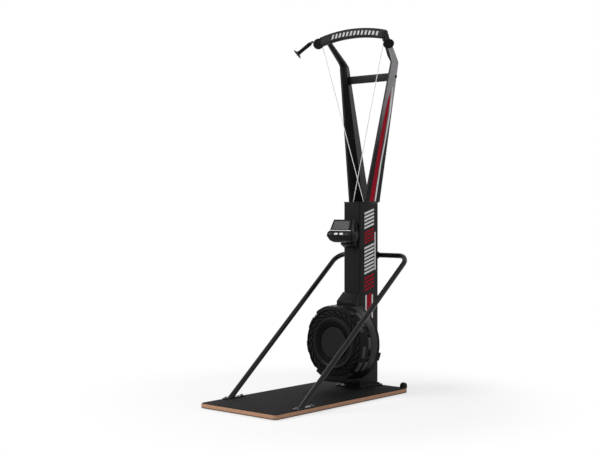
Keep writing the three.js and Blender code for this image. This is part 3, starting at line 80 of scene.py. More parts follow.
# Materials
class Nodes:
    """A short way to wire a node tree. What goes into a socket is a constant, an output or a node."""

    def __init__(self, owner):
        owner.use_nodes = True
        self.owner, self.tree = owner, owner.node_tree
        self.tree.nodes.clear()

    def add(self, kind, sockets=None, **settings):
        node = self.tree.nodes.new("ShaderNode" + kind)
        for key, value in settings.items():
            setattr(node, key, value)
        for key, value in (sockets or {}).items():
            socket = node.inputs[key]
            if isinstance(value, bpy.types.Node):
                value = value.outputs[0]
            if isinstance(value, bpy.types.NodeSocket):
                self.tree.links.new(value, socket)
            else:
                socket.default_value = (*value, 1) if socket.type == "RGBA" else value
        return node

    def close(self, kind, shader):
        self.add(kind, {0: shader})
        return self.owner

    def shader(self, **values):
        """The finished material, with a principled shader of these values."""
        sockets = {key.replace("_", " "): value for key, value in values.items()}
        return self.close("OutputMaterial", self.add("BsdfPrincipled", sockets))

    def noise(self, scale, detail=3.0, rough=0.55, stretch=None):
        source = self.coords
        if stretch:
            source = self.add("Mapping", {"Scale": stretch, 0: self.coords})
        sockets = {"Scale": scale, "Detail": detail, "Roughness": rough, "Vector": source}
        return self.add("TexNoise", sockets).outputs["Fac"]

    def ramp(self, value, stops):
        node = self.add("ValToRGB", {0: value})
        ramp = node.color_ramp
        while len(ramp.elements) < len(stops):
            ramp.elements.new(0.5)
        for element, (place, colour) in zip(ramp.elements, stops):
            element.position = place
            element.color = (*colour, 1)
        return node.outputs[0]

    def range(self, value, low, high, to_low=0.0, to_high=1.0, smooth=False):
        sockets = {"Value": value, "From Min": low, "From Max": high, "To Min": to_low, "To Max": to_high}
        return self.add("MapRange", sockets, interpolation_type="SMOOTHSTEP" if smooth else "LINEAR").outputs[0]

    def uneven(self, scale, detail, low, high):
        """A noise's middle, stretched from one value to another."""
        return self.range(self.noise(scale, detail), 0.3, 0.7, low, high)

    def two_tone(self, value, dark, light):
        return self.ramp(value, [(0.3, dark), (0.7, light)])

    def mix(self, factor, a, b, blend="MIX"):
        return self.add("Mix", {0: factor, 6: a, 7: b}, data_type="RGBA", blend_type=blend).outputs[2]

    def calc(self, operation, a, b=0.0):
        return self.add("Math", {0: a, 1: b}, operation=operation).outputs[0]

    def axis(self, letter, source=None):
        return self.add("SeparateXYZ", {0: source or self.coords}).outputs[letter]

    def bump(self, height, strength, distance):
        return self.add("Bump", {"Strength": strength, "Distance": distance, "Height": height}).outputs[0]


def new_material(name):
    n = Nodes(bpy.data.materials.new(name))
    n.coords = n.add("TexCoord").outputs["Object"]
    return n


def grey(level):
    return (level,) * 3


def shade(colour, factor):
    return tuple(min(1.0, c * factor) for c in colour)


def mottled(name, colour, rough, spread=0.12, grain=900, depth=0.00006, strength=0.25, metal=0.0,
            smudge=0.06, sheen=0.09):
    """Moulded plastic, rubber or powder coat: fine grain, faint colour drift and uneven gloss."""
    n = new_material(name)
    return n.shader(
        Base_Color=n.two_tone(n.noise(9, 4), shade(colour, 1 - spread), shade(colour, 1 + spread)),
        Roughness=n.uneven(26, 5, rough - smudge, rough + smudge),
        Normal=n.bump(n.noise(grain, 2, 0.6), strength, depth), Metallic=metal, Specular_IOR_Level=sheen,
    )


def brushed(name, colour, rough):
    n = new_material(name)
    lines = n.noise(60, 6, 0.6, stretch=(40, 1.5, 1.5))
    return n.shader(
        Base_Color=n.two_tone(lines, shade(colour, 0.82), shade(colour, 1.1)),
        Roughness=n.range(lines, 0.3, 0.7, rough - 0.08, rough + 0.1),
        Normal=n.bump(lines, 0.15, 0.0001), Metallic=1.0,
    )


def wood_material():
    """Plywood, darkest along its lowest edge: partly its dark bottom film, partly painted shadow."""
    n = new_material("plywood")
    ply = n.add("TexWave", {"Scale": 46, "Distortion": 0.6, "Detail": 2, "Detail Scale": 0.6, "Vector": n.coords},
                wave_type="BANDS", bands_direction="Z")
    grain = n.noise(30, 6, 0.65, stretch=(1.4, 1.4, 40))
    fine = n.noise(260, 3, 0.6, stretch=(0.5, 0.5, 8))
    base = n.ramp(grain, [(0.3, (0.40, 0.215, 0.135)), (0.55, (0.54, 0.31, 0.20)), (0.75, (0.66, 0.41, 0.28))])
    plies = n.range(ply.outputs["Fac"], 0.0, 0.35, 0.80, 1.0, smooth=True)
    base = n.mix(1.0, base, n.ramp(plies, [(0.0, grey(0.0)), (1.0, grey(1.0))]), "MULTIPLY")
    # The lowest millimetres of the edge are darkened: partly the dark bottom film, partly painted shadow.
    base = n.mix(n.range(n.axis("Z"), 0.0060, 0.0130, smooth=True), (0.05, 0.025, 0.015), base)
    return n.shader(Base_Color=base, Roughness=n.range(fine, 0.3, 0.7, 0.42, 0.6),
                    Normal=n.bump(fine, 0.2, 0.0002), Specular_IOR_Level=0.06)


def mat_material():
    """Studded rubber, lighter on the front half as a painted reflection and darker towards the fan as painted shade."""
    n = new_material("grip_mat")
    dots = n.add("TexVoronoi", {"Scale": 260, "Randomness": 0.35, "Vector": n.coords}, feature="F1")
    base = n.two_tone(n.noise(5, 4), (0.0055, 0.0055, 0.0058), (0.0085, 0.0085, 0.0090))
    # Painted light: the front half is lightened as a painted reflection, and the part towards the fan stays darker as
    # painted shade.
    frontward_ramp = n.range(n.axis("Y"), 0.15, -0.45, 0.0, 0.75, smooth=True)
    painted_sheen_mask = n.calc("MULTIPLY", frontward_ramp, n.uneven(30, 5, 0.55, 1.0))
    return n.shader(
        Base_Color=n.mix(painted_sheen_mask, base, (0.023, 0.0225, 0.0235)), Roughness=n.uneven(120, 3, 0.66, 0.82),
        Normal=n.bump(dots.outputs["Distance"], 0.55, 0.0006), Specular_IOR_Level=0.055,
    )


def arm_material():
    """Semi-gloss paint with a painted reflection: silver grey on the outer faces of the upper arms."""
    n = new_material("arm_paint")
    base = n.two_tone(n.noise(9, 4), (0.006, 0.006, 0.0065), (0.009, 0.009, 0.010))
    # Painted reflection: the outward-facing sides of the upper arms turn silver grey, more so higher up.
    rise = n.range(n.axis("Z"), 1.50, 2.02, smooth=True)
    normal_x = n.axis("X", n.add("NewGeometry").outputs["Normal"])
    side = n.range(n.calc("ABSOLUTE", normal_x), 0.06, 0.36, smooth=True)
    outside = n.range(n.calc("MULTIPLY", normal_x, n.axis("X")), 0.0, 0.02)
    painted_reflection_mask = n.calc("MULTIPLY", n.calc("MULTIPLY", rise, side), outside)
    reflection_grey = n.two_tone(n.noise(18, 5), (0.34, 0.325, 0.34), (0.42, 0.40, 0.42))
    return n.shader(
        Base_Color=n.mix(painted_reflection_mask, base, reflection_grey), Roughness=n.uneven(26, 5, 0.28, 0.4),
        Normal=n.bump(n.noise(1100, 2), 0.2, 0.00005), Specular_IOR_Level=0.1,
    )


def cord_material():
    n = new_material("braided_cord")
    turned = n.add("Mapping", {0: n.coords, "Rotation": (0.6, 0.4, 0.3)})
    weave = n.add("TexWave", {"Scale": 160, "Distortion": 1.5, "Vector": turned},
                  wave_type="BANDS", bands_direction="DIAGONAL").outputs["Fac"]
    base = n.ramp(weave, [(0.1, grey(0.82)), (0.6, (0.97, 0.97, 0.96))])
    return n.shader(Base_Color=base, Roughness=0.75, Normal=n.bump(weave, 0.5, 0.0004))


def screen_material():
    """A switched-off liquid crystal panel behind a clear lens."""
    n = new_material("screen_glass")
    stops = [(0.0, (0.030, 0.032, 0.031)), (0.55, (0.038, 0.041, 0.040)), (1.0, (0.046, 0.049, 0.048))]
    base = n.ramp(n.range(n.axis("Z"), 1.02, 1.10), stops)
    base = n.mix(n.range(n.noise(60, 3), 0.4, 0.7, 0.0, 0.2), base, (0.058, 0.062, 0.058))
    return n.shader(Base_Color=base, Roughness=0.3, Normal=n.bump(n.noise(500, 2), 0.03, 0.00003),
                    Specular_IOR_Level=0.2)


COAT = dict(grain=1100, depth=0.00005)
MOULD = dict(grain=700, depth=0.0001, strength=0.3)
SMOOTH_MOULD = dict(grain=600, depth=0.0001, strength=0.3)
PRINT = dict(grain=1200, depth=0.00002, strength=0.1)
M = {
    "wood": wood_material(),
    "mat": mat_material(),
    "pad": mottled("pad_rubber", grey(0.012), 0.75),
    "frame": mottled("frame_paint", (0.0078, 0.0078, 0.0085), 0.42, strength=0.2, **COAT),
    "arm": arm_material(),
    "brace": mottled("brace_paint", (0.0045, 0.0045, 0.005), 0.2, strength=0.15, sheen=0.22, smudge=0.04, **COAT),
    "housing": mottled("housing_plastic", (0.0068, 0.0068, 0.0073), 0.36, **MOULD),
    "band": mottled("band_plastic", (0.033, 0.031, 0.034), 0.42, **MOULD),
    "cap": mottled("cap_plastic", grey(0.0115), 0.55, sheen=0.1, **SMOOTH_MOULD),
    # Lighter plastic for the lugs: painted highlight.
    "lug": mottled("painted_glint_plastic", (0.062, 0.059, 0.063), 0.42, **MOULD),
    # Darker plastic for the recess round the cap: painted shade.
    "recess_shade": mottled("painted_recess_shade", (0.0045, 0.0045, 0.0048), 0.7, sheen=0.06, **SMOOTH_MOULD),
    "mesh": mottled("insect_mesh", grey(0.006), 0.8, grain=1500, depth=0.0004, strength=0.6),
    "damper": mottled("damper_plastic", (0.012, 0.012, 0.013), 0.45, grain=700),
    "pulley": mottled("pulley_plastic", (0.007, 0.007, 0.0075), 0.4, grain=800),
    "handle": mottled("handle_rubber", (0.007, 0.007, 0.0075), 0.55, grain=1500, depth=0.0001, strength=0.35),
    "wheel": mottled("wheel_rubber", grey(0.012), 0.6),
    "console": mottled("console_plastic", (0.0058, 0.0058, 0.0064), 0.4, sheen=0.07),
    "white": mottled("white_print", grey(0.88), 0.45, spread=0.03, **PRINT),
    "faded": mottled("faded_print", (0.60, 0.60, 0.61), 0.45, spread=0.06, **PRINT),
    "red": mottled("red_print", (0.36, 0.010, 0.024), 0.45, spread=0.08, sheen=0.03, **PRINT),
    "button_white": mottled("button_white", (0.66, 0.66, 0.68), 0.4, spread=0.04, depth=0.00003, sheen=0.4),
    "button_grey": mottled("button_grey", (0.04, 0.042, 0.05), 0.45, depth=0.00003),
    "green": mottled("circuit_board", (0.02, 0.12, 0.05), 0.5, grain=400, sheen=0.4),
    "steel": brushed("turned_steel", (0.55, 0.55, 0.56), 0.32),
    "zinc": brushed("zinc_plate", (0.60, 0.61, 0.62), 0.38),
    "bolt": brushed("bolt_steel", (0.15, 0.15, 0.155), 0.42),
    "black_bolt": mottled("black_bolt", grey(0.016), 0.35, metal=0.5),
    "cord": cord_material(),
    "screen": screen_material(),
}


# Mesh helpers
def mesh_object(name, bm):
    mesh = bpy.data.meshes.new(name)
    bm.to_mesh(mesh)
    bm.free()
    return add_object(name, mesh)


def clean_object(name, bm):
    bmesh.ops.remove_doubles(bm, verts=bm.verts, dist=1e-6)
    bmesh.ops.recalc_face_normals(bm, faces=bm.faces)
    return mesh_object(name, bm)


def piece(name, bm, material, node=None, body="frame", bevel=None):
    """A mesh piece riding on a body, with smooth rounds. Bevel is its width, steps and least angle."""
    obj = clean_object(name, bm)
    obj.data.materials.append(M[material])
    if bevel:
        round_edges(obj, *bevel)
    smooth(obj)
    if body:
        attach(obj, body)
    if node:
        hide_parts(node)
    return obj


def smooth(obj, angle=34):
    obj.data.polygons.foreach_set("use_smooth", [True] * len(obj.data.polygons))
    obj.data.set_sharp_from_angle(angle=radians(angle))


def apply_modifiers(obj):
    bpy.context.view_layer.update()
    evaluated = obj.evaluated_get(bpy.context.evaluated_depsgraph_get())
    mesh = bpy.data.meshes.new_from_object(evaluated)
    old = obj.data
    obj.modifiers.clear()
    obj.data = mesh
    mesh.name = old.name
    bpy.data.meshes.remove(old)


def round_edges(obj, width, steps=2, angle=34):
    modifier = obj.modifiers.new("bevel", "BEVEL")
    modifier.width = width / 1000
    modifier.segments = steps
    modifier.limit_method = "ANGLE"
    modifier.angle_limit = radians(angle)
    modifier.use_clamp_overlap = True
    apply_modifiers(obj)


def boolean(bm, tools, operation="DIFFERENCE"):
    """bm with each tool cut away from it, or with only what it shares with them."""
    obj = clean_object("body", bm)
    made = [clean_object("tool", tool) for tool in tools]
    for tool in made:
        modifier = obj.modifiers.new("cut", "BOOLEAN")
        modifier.operation = operation
        modifier.object = tool
        modifier.solver = "EXACT"
    apply_modifiers(obj)
    result = bmesh.new()
    result.from_mesh(obj.data)
    for each in [obj, *made]:
        mesh = each.data
        bpy.data.objects.remove(each)
        bpy.data.meshes.remove(mesh)
    return result


def join(*parts):
    """Several bmeshes as one, overlapping or not."""
    result = bmesh.new()
    for part in parts:
        mesh = bpy.data.meshes.new("joined")
        part.to_mesh(mesh)
        part.free()
        result.from_mesh(mesh)
        bpy.data.meshes.remove(mesh)
    return result


def trim(bm, at, outwards):
    """bm without what lies beyond a plane, the cut closed."""
    geometry = bm.verts[:] + bm.edges[:] + bm.faces[:]
    cut = bmesh.ops.bisect_plane(bm, geom=geometry, plane_co=at, plane_no=outwards, clear_outer=True)
    bmesh.ops.holes_fill(bm, edges=[e for e in cut["geom_cut"] if isinstance(e, bmesh.types.BMEdge)])
    return bm


def skin(rings, loop=False):
    """A skin over rings of world points, with closed ends or, in a loop, from the last to the first."""
    bm = bmesh.new()
    rows = [[bm.verts.new(p) for p in ring] for ring in rings]
    count = len(rings[0])
    for k in range(len(rows) if loop else len(rows) - 1):
        a, b = rows[k], rows[(k + 1) % len(rows)]
        for i in range(count):
            j = (i + 1) % count
            bm.faces.new((a[i], a[j], b[j], b[i]))
    if not loop:
        bm.faces.new(rows[0][::-1])
        bm.faces.new(rows[-1])
    return bm


def slab(points, low, high, at):
    """An outline raised from one level to another; at(u, v, level) is a world point."""
    return skin([[at(u, v, level) for u, v in points] for level in (low, high)])


def plate(points, low, high):
    """A plan outline raised from one height to another."""
    return slab(points, low, high, W)


def side_plate(points, low, high):
    """A side outline of (y, z) points from one X to another."""
    return slab(points, low, high, lambda y, z, x: W(x, y, z))


def face_plate(points, low, high):
    """A front outline of (x, z) points from one Y to another."""
    return slab(points, low, high, lambda x, z, y: W(x, y, z))


def box(x0, y0, z0, x1, y1, z1):
    return plate([(x0, y0), (x1, y0), (x1, y1), (x0, y1)], z0, z1)


def arc(cx, cy, r, a0, a1, n):
    angles = [radians(a0 + (a1 - a0) * i / n) for i in range(n + 1)]
    return [(cx + r * cos(a), cy + r * sin(a)) for a in angles]


def corners(centres, radius, steps):
    """Quarter arcs about (x, y, first angle) centres, one after another."""
    return [p for x, y, start in centres for p in arc(x, y, radius, start, start + 90, steps)]


def rounded(x0, y0, x1, y1, r, steps=8):
    return corners(((x1 - r, y0 + r, -90), (x1 - r, y1 - r, 0), (x0 + r, y1 - r, 90), (x0 + r, y0 + r, 180)), r, steps)


def facing(way, at):
    """A placing matrix whose local Z looks one way, at a world point."""
    z = Vector(way).normalized()
    x = UP.cross(z)
    if x.length < 1e-4:
        x = RIGHT.copy()
    x.normalize()
    y = z.cross(x)
    matrix = Matrix((x, y, z)).transposed().to_4x4()
    matrix.translation = at
    return matrix


def circle(place, radius, station, count):
    """Points about the local Z of a placing matrix."""
    r = radius / 1000
    return [place @ Vector((r * cos(2 * pi * i / count), r * sin(2 * pi * i / count), station / 1000))
            for i in range(count)]


def turn(profile, place, count=96):
    """A profile of (radius, station) points turned about the local Z of a placing matrix."""
    bm = bmesh.new()
    rows = [[bm.verts.new(p) for p in circle(place, radius, station, count if radius > 1e-6 else 1)]
            for radius, station in profile]
    pairs = list(zip(rows, rows[1:]))
    if len(rows[0]) > 1 and len(rows[-1]) > 1:
        pairs.append((rows[-1], rows[0]))
    for a, b in pairs:
        if len(a) == len(b) == 1:
            continue
        for i in range(count):
            j = (i + 1) % count
            if len(a) == 1:
                bm.faces.new((a[0], b[j], b[i]))
            elif len(b) == 1:
                bm.faces.new((a[i], a[j], b[0]))
            else:
                bm.faces.new((a[i], a[j], b[j], b[i]))
    return bm


def rod(radius, low, high, place, count=32):
    """A plain round bar, mostly used as a drill."""
    return turn([(0, low), (radius, low), (radius, high), (0, high)], place, count)


def square_to(way, seed=None):
    """A unit vector square to way, near to seed."""
    if seed is None:
        seed = UP if abs(way.z) < 0.9 else RIGHT
    return (seed - way * seed.dot(way)).normalized()


def hoop(at, normal, other, radius, sides):
    r = radius / 1000
    return [at + normal * (r * cos(2 * pi * i / sides)) + other * (r * sin(2 * pi * i / sides)) for i in range(sides)]


def sweep(points, radius, sides=20):
    """A round tube through world points. Radius is one size or one for each point."""
    rings = []
    last = len(points) - 1
    normal = None
    for k, p in enumerate(points):
        way = (points[min(k + 1, last)] - points[max(k - 1, 0)]).normalized()
        normal = square_to(way, normal)
        rings.append(hoop(p, normal, way.cross(normal), radius[k] if isinstance(radius, list) else radius, sides))
    return skin(rings)


def bend(corner, before, after, radius, steps):
    """World points of an arc that rounds a corner."""
    arriving = (corner - before).normalized()
    leaving = (after - corner).normalized()
    angle = arriving.angle(leaving)
    r = radius / 1000
    inwards = (leaving - arriving * leaving.dot(arriving)).normalized()
    centre = corner - arriving * (r * tan(angle / 2)) + inwards * r
    return [centre - inwards * (r * cos(angle * i / steps)) + arriving * (r * sin(angle * i / steps))
            for i in range(steps + 1)]


def resample(points, spacing):
    """World points at even spacing along a line of points."""
    result = [points[0]]
    for a, b in zip(points, points[1:]):
        steps = max(1, round((b - a).length / (spacing / 1000)))
        result += [a.lerp(b, i / steps) for i in range(1, steps + 1)]
    return result


def bolts(name, points, way, across, height, washer, material="bolt", thread=0.0):
    """Hexagon heads on washers at machine points, their heads towards way."""
    stem, corner = across * 0.3, across * 0.5774
    foot = [(0, -thread), (stem, -thread), (stem, 0), (washer, 0), (washer, 1.2), (stem, 1.6), (0, 1.6)]
    rows = ((corner, 1.6), (corner, height), (across * 0.47, height + 1.0))
    made = []
    for k, point in enumerate(points):
        place = facing(way, W(*point))
        head = skin([circle(place, radius, station, 6) for radius, station in rows])
        made.append(piece(f"{name}_{k + 1}", join(turn(foot, place, 32), head), material, bevel=(0.5, 2, 40)))
    return made


def screws(name, points, way, radius, height, body="frame"):
    for k, point in enumerate(points):
        button_screw(f"{name}_{k + 1}", W(*point), way, radius, height, body)


def button_screw(name, at, way, radius, height, body="frame"):
    """A round-headed screw with a socket in it."""
    profile = [
        (0, -1.0), (radius * 0.5, -1.0), (radius * 0.5, 0), (radius, 0), (radius, height * 0.35),
        (radius * 0.86, height * 0.75), (radius * 0.6, height), (radius * 0.42, height),
        (radius * 0.42, height * 0.35), (0, height * 0.3),
    ]
    piece(name, turn(profile, facing(way, at), 24), "black_bolt", body=body, bevel=(0.25, 1))


def weld(name, points, spacing, radius, material="frame", closed=True):
    """A weld bead: a rippled tube along world points."""
    line = resample(points + points[:1], spacing)[:-1] if closed else resample(points, spacing)
    radii = [radius * (1 + 0.13 * sin(i * 2.4)) for i in range(len(line))]
    if not closed:
        piece(name, sweep(line, radii, 8), material)
        return
    rings = []
    for k, p in enumerate(line):
        way = (line[(k + 1) % len(line)] - line[k - 1]).normalized()
        normal = square_to(way)
        rings.append(hoop(p, normal, way.cross(normal), radii[k], 8))
    piece(name, skin(rings, loop=True), material)


# Pull cords: from the reels through the head plate, over the top pulleys to the handles
PLAN = radians(44)  # how far forwards of sideways each cord leaves, seen from above
CORD_RADIUS = 2.5
WRAP = 22  # from a pulley's axle to the middle of its cord
LEAVING = radians(15)  # how far the cord dips where it leaves its pulley
WRAP_TURN = 105  # degrees of the pulley that the cord touches, from its inner side over its top
HOUSING_RADIUS, BALL_RADIUS = 34, 8
CORD_GAP = 0.3  # between a stop ball and its cord, and between it and the housing
BALL_REACH = sqrt((HOUSING_RADIUS + BALL_RADIUS + CORD_GAP) ** 2 - WRAP ** 2)
PULLEY, BALL = {}, {}


def in_pulley(side, out, up):
    centre, outwards, _ = PULLEY[side]
    return centre + outwards * (out / 1000) + UP * (up / 1000)


for side, sign in SIDES:
    outwards = Vector((sign * cos(PLAN), -sin(PLAN), 0))
    PULLEY[side] = (W(sign * 268, 1035, 2225.3), outwards, Vector((sign * sin(PLAN), cos(PLAN), 0)))
    BALL[side] = in_pulley(side, WRAP * sin(LEAVING) + BALL_REACH * cos(LEAVING),
                           WRAP * cos(LEAVING) - BALL_REACH * sin(LEAVING))


def cord_hole(sign, z):
    return W(-sign * 38, 1113.6 - sign * 5, z)


def cord_route(side, sign, steps=28):
    """A cord's run up from its reel, and its wrap over the top pulley."""
    run = [W(-30.8, 1095.6 if sign > 0 else 1131.6, SHAFT_Z), cord_hole(sign, 1190.2), cord_hole(sign, HEAD_TOP)]
    angles = [radians(180 - WRAP_TURN * i / steps) for i in range(steps + 1)]
    return run, [in_pulley(side, WRAP * cos(a), WRAP * sin(a)) for a in angles]


# Which way each handle is pulled, and where its cord bends when it is (in metres from the pulley)
PULL = {side: Vector((sign * 0.10018, -0.420758, -0.901624)) for side, sign in SIDES}
CORD_TURN = 0.020


def lead(side, leaving, turn_at, end):
    """The cord from its pulley to its ball. Its rings are mitred, so it keeps its width when it is pulled down."""
    straight = (end - leaving).normalized()
    across = straight.cross(PULL[side]).normalized()
    beside = straight.cross(across)
    halfway = (straight + PULL[side]).normalized()
    mitre = -halfway.dot(beside) / halfway.dot(straight)
    rows = [(leaving.lerp(turn_at, i / 12), i / 12) for i in range(12)]
    rows += [(turn_at.lerp(end, i / 110), 1) for i in range(111)] + [(end + straight * 0.0013, 1)]
    rings = []
    for at, share in rows:
        other = beside + straight * (mitre * share)
        rings.append([at + (across * cos(a) + other * sin(a)) * (CORD_RADIUS / 1000)
                      for a in (2 * pi * k / 14 for k in range(14))])
    return skin(rings)


for side, sign in SIDES:
    route, wrap = cord_route(side, sign)
    line = resample(route + wrap[:1], 60)[:-1] + wrap
    piece(f"{side}_cord_run", sweep(line, CORD_RADIUS, 14), "cord")
    leaving = wrap[-1]
    towards = BALL[side] - leaving
    end = leaving + towards * (1 - (BALL_RADIUS + CORD_GAP) / 1000 / towards.length)
    turn_at = leaving + towards.normalized() * CORD_TURN
    moving = piece(f"{side}_cord_lead", lead(side, leaving, turn_at, end), "cord", body=None)
    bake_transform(moving)
    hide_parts(f"{side}_pull_cord")

# Platform: plywood and a mat, both notched for the wheels
WHEEL_X = 255
for name, inset, low, high, material, slot, node, bevel in (
    ("platform_ply", 0, 4.3, 29.3, "wood", "board_wood", "platform_board", (1.6, 3)),
    ("platform_grip", 5, 29.6, 32.6, "mat", "grip_mat", "platform_mat", (0.9, 2)),
):
    outline = rounded(inset - BOARD_HALF, inset, BOARD_HALF - inset, BOARD_LENGTH - inset, 26 - inset, 14)
    notches = [box(x - 15, 1224, -10, x + 15, 1260, 60) for x in (-WHEEL_X, WHEEL_X)]
    piece(name, boolean(plate(outline, low, high), notches), material, node, bevel=bevel)
PAD = [(0, 0), (13, 0), (13.5, 0.6), (16.5, 0.6), (17, 0), (22.2, 0), (23.6, 0.5), (25.4, 2.2), (26, 2.9), (26, 4),
       (0, 4)]
for side, sign in SIDES:
    for word, y in (("front", 56), ("rear", 1186)):
        piece(f"{side}_{word}_pad", turn(PAD, facing(UP, W(sign * 244, y, 0)), 48), "pad",
              f"{side}_{word}_foot_pad", bevel=(0.3,))


# Column with its base and head plates
def shaft_drill(y0, y1, radius):
    return rod(radius, 0, y1 - y0, facing(REARWARD, W(0, y0, SHAFT_Z)), 40)


base_holes = [rod(5.5, 0, 20, facing(UP, W(x, y, 27))) for x in (-83, 83) for y in (1024, 1216)]
piece("base_plate", boolean(plate(rounded(-105, 1002, 105, COLUMN_BACK, 14), 32.9, BASE_TOP), base_holes), "frame",
      "column_base_plate", bevel=(1.2, 3))
base_bolts = bolts("base_bolt", [(x, y, BASE_TOP) for y in (1024, 1216) for x in (-83, 83)], UP, 17, 8, 11,
                   material="black_bolt", thread=8)
base_bolts[0].data.materials[0] = M["bolt"]  # the left front one shines in the photograph

outer, inner = (rounded(wall - COLUMN_HALF, COLUMN_FRONT + wall, COLUMN_HALF - wall, COLUMN_BACK - wall, 9 - wall, 10)
                for wall in (0, 4))
tube = skin([[W(x, y, z) for x, y in outline] for outline, z in
             ((outer, 41.2), (outer, 1199.2), (inner, 1199.2), (inner, 41.2))], loop=True)
piece("column", boolean(tube, [shaft_drill(1030, 1141, 24.3), shaft_drill(1141, 1250, 22.3)]), "frame",
      "column_tube")
weld("column_weld", [W(x, y, 41.6) for x, y in rounded(-65, 1043, 65, 1237.2, 10, 6)], 5, 2.6)

FLARE = [(0, 0), (6, 0), (6, 13.5), (9, 15.5), (9, 25), (0, 25)]
flares = [turn(FLARE, facing(UP, cord_hole(sign, 1190)), 40) for side, sign in SIDES]
piece("head_plate", boolean(plate(rounded(-67, 1041, 67, 1241, 10), 1199.5, HEAD_TOP), flares), "frame",
      "column_head_plate", bevel=(1.2, 3))
GROMMET = [(4.2, 0), (6.4, 0), (6.4, 4.6), (8.9, 6.6), (9.6, 7.4), (8.6, 8.2), (6.2, 7.4), (4.6, 5.6), (4.2, 4)]
for side, sign in SIDES:
    piece(f"{side}_cord_grommet", turn(GROMMET, facing(UP, cord_hole(sign, 1198.4)), 40), "pulley")

# Arms: sections at heights above their foot, each with the outer face, front edge, depth,
# rear width and front width. The sides count from ARM_X and the fronts from ARM_Y.
ARM_X, ARM_Y, ARM_FOOT = 67, 1098, 1205.8
KNEE, TIP = 881, 1053
KNEE_OUT = 147
STATIONS = (
    (0, 0, 0, 152, 52, 15), (KNEE, KNEE_OUT, 86, 67, 28, 17), (916, 160.5, 62, 50, 44, 36), (TIP, 185, -45, 27, 36, 34),
)
ARM_BLUR = 4.0  # the knee's sections are averaged over this much height each way


def arm_at(z):
    """Outer face, front edge, depth, rear width and front width at a height above the arm's foot."""
    def raw(level):
        level = min(max(level, 0.0), TIP)
        for a, b in zip(STATIONS, STATIONS[1:]):
            if level <= b[0]:
                t = (level - a[0]) / (b[0] - a[0])
                return [p + (q - p) * t for p, q in zip(a[1:], b[1:])]

    if z < 850 or z > 1040:
        return raw(z)
    taps = [raw(z + ARM_BLUR * k / 4) for k in range(-4, 5)]
    return [sum(tap[i] for tap in taps) / 9 for i in range(5)]


def arm_ring(sign, level, grow=0.0, foot=ARM_FOOT):
    """An arm's section, its outer front corner rounder above the knee."""
    out, front, depth, width, edge = arm_at(level)
    outer = ARM_X + out + grow
    front_edge = ARM_Y + front - grow
    rear = ARM_Y + front + depth + grow
    inner = ARM_X + out - width - grow
    lip = ARM_X + out - edge - grow * 0.4
    r = 2.6
    soft = r + 19 * min(max((level - 872) / 40, 0.0), 1.0)
    ring = [
        (outer, rear - r), (outer - r * 0.29, rear - r * 0.29), (outer - r, rear),
        (inner + r, rear), (inner + r * 0.29, rear - r * 0.29), (inner, rear - r),
        (inner, ARM_Y + front + depth * 0.52),
        (lip, front_edge + r), (lip + r * 0.35, front_edge + r * 0.35), (lip + r, front_edge),
    ]
    for a in (radians(22.5 * i) for i in range(5)):
        ring.append((outer - soft * (1 - sin(a)), front_edge + soft * (1 - cos(a))))
    return [W(sign * x, y, foot + level) for x, y in ring]


levels = {KNEE * i / 22 for i in range(22)} | {862 + 3.5 * i for i in range(22)} | {945 + 12 * i for i in range(9)}
levels = sorted(levels | {TIP})
for side, sign in SIDES:
    beam = trim(skin([arm_ring(sign, level) for level in levels]), W(0, 1069.5, 0), -REARWARD)
    smooth(piece(f"{side}_arm_beam", beam, "arm", f"{side}_arm"), 12)
    weld(f"{side}_arm_weld", arm_ring(sign, 0, 0.6, 1206.2), 5, 2.2)

# Crossbar between the arms, with a screw at each end
BAR_SCREW_Z = 1998.8
bar = [(-163.9, 1974.3), (163.9, 1974.3), (173.4, 2023.3), (-173.4, 2023.3)]
piece("crossbar", face_plate(bar, 1227, 1247), "frame", "arm_crossbar", bevel=(2.2, 4))
for side, sign in SIDES:
    at = W(sign * (ARM_X + KNEE_OUT * (BAR_SCREW_Z - ARM_FOOT) / KNEE), 1241, BAR_SCREW_Z)
    button_screw(f"{side}_crossbar_screw", at, (sign, 0, -0.167), 10, 5)

# Top arch bar
ARCH_HALF, ARCH_LOW, ARCH_RISE = 258, 2237, 30
ARCH_RADIUS = (ARCH_HALF ** 2 + ARCH_RISE ** 2) / (2 * ARCH_RISE)
ARCH_SECTION = corners(((1042, 9, 180), (1060, 9, 270), (1060, 51, 0), (1042, 51, 90)), 9, 6)


def on_arch(x, y, up):
    drop = ARCH_RADIUS - sqrt(ARCH_RADIUS ** 2 - x ** 2)
    return W(x, y, ARCH_LOW - drop + up)


def housing_profile(grow=0.0):
    r, h, e = HOUSING_RADIUS + grow, 14.5 + grow, 5.0
    low = [(r - e + e * sin(radians(a)), -h + e - e * cos(radians(a))) for a in range(0, 91, 15)]
    high = [(radius, -station) for radius, station in reversed(low)]
    seam = [(r, -0.9), (r - 0.7, -0.4), (r - 0.7, 0.4), (r, 0.9)] if not grow else []
    return [(0, -h), *low, *seam, *high, (0, h)]


def pulley_place(side):
    centre, _, axle = PULLEY[side]
    return facing(axle, centre)


def mouth(side, sign, radius):
    """A round channel along the cord, to cut its way through the bar and the housing."""
    route, wrap = cord_route(side, sign, 14)
    ball = BALL[side]
    beyond = ball + (ball - wrap[-1]).normalized() * 0.02
    return sweep([route[-1].lerp(wrap[0], 0.9)] + wrap + [ball, beyond], radius, 16)


def swing_slot(side, sign):
    """The opening in a pulley's housing that the cord swings down through as it is pulled."""
    leaving = cord_route(side, sign)[1][-1]
    straight = (BALL[side] - leaving).normalized()
    pull = PULL[side]
    at = leaving + straight * CORD_TURN
    half = 0.0042
    across = straight.cross(pull).normalized() * half
    inward = (straight - pull * straight.dot(pull)).normalized() * half
    above = (straight * straight.dot(pull) - pull).normalized() * half
    outline = [at - straight * half + above, at + straight * 0.05 + above, at + (straight + pull).normalized() * 0.06,
               at + pull * 0.05 - inward, at - pull * half - inward]
    return skin([[p - across for p in outline], [p + across for p in outline]])


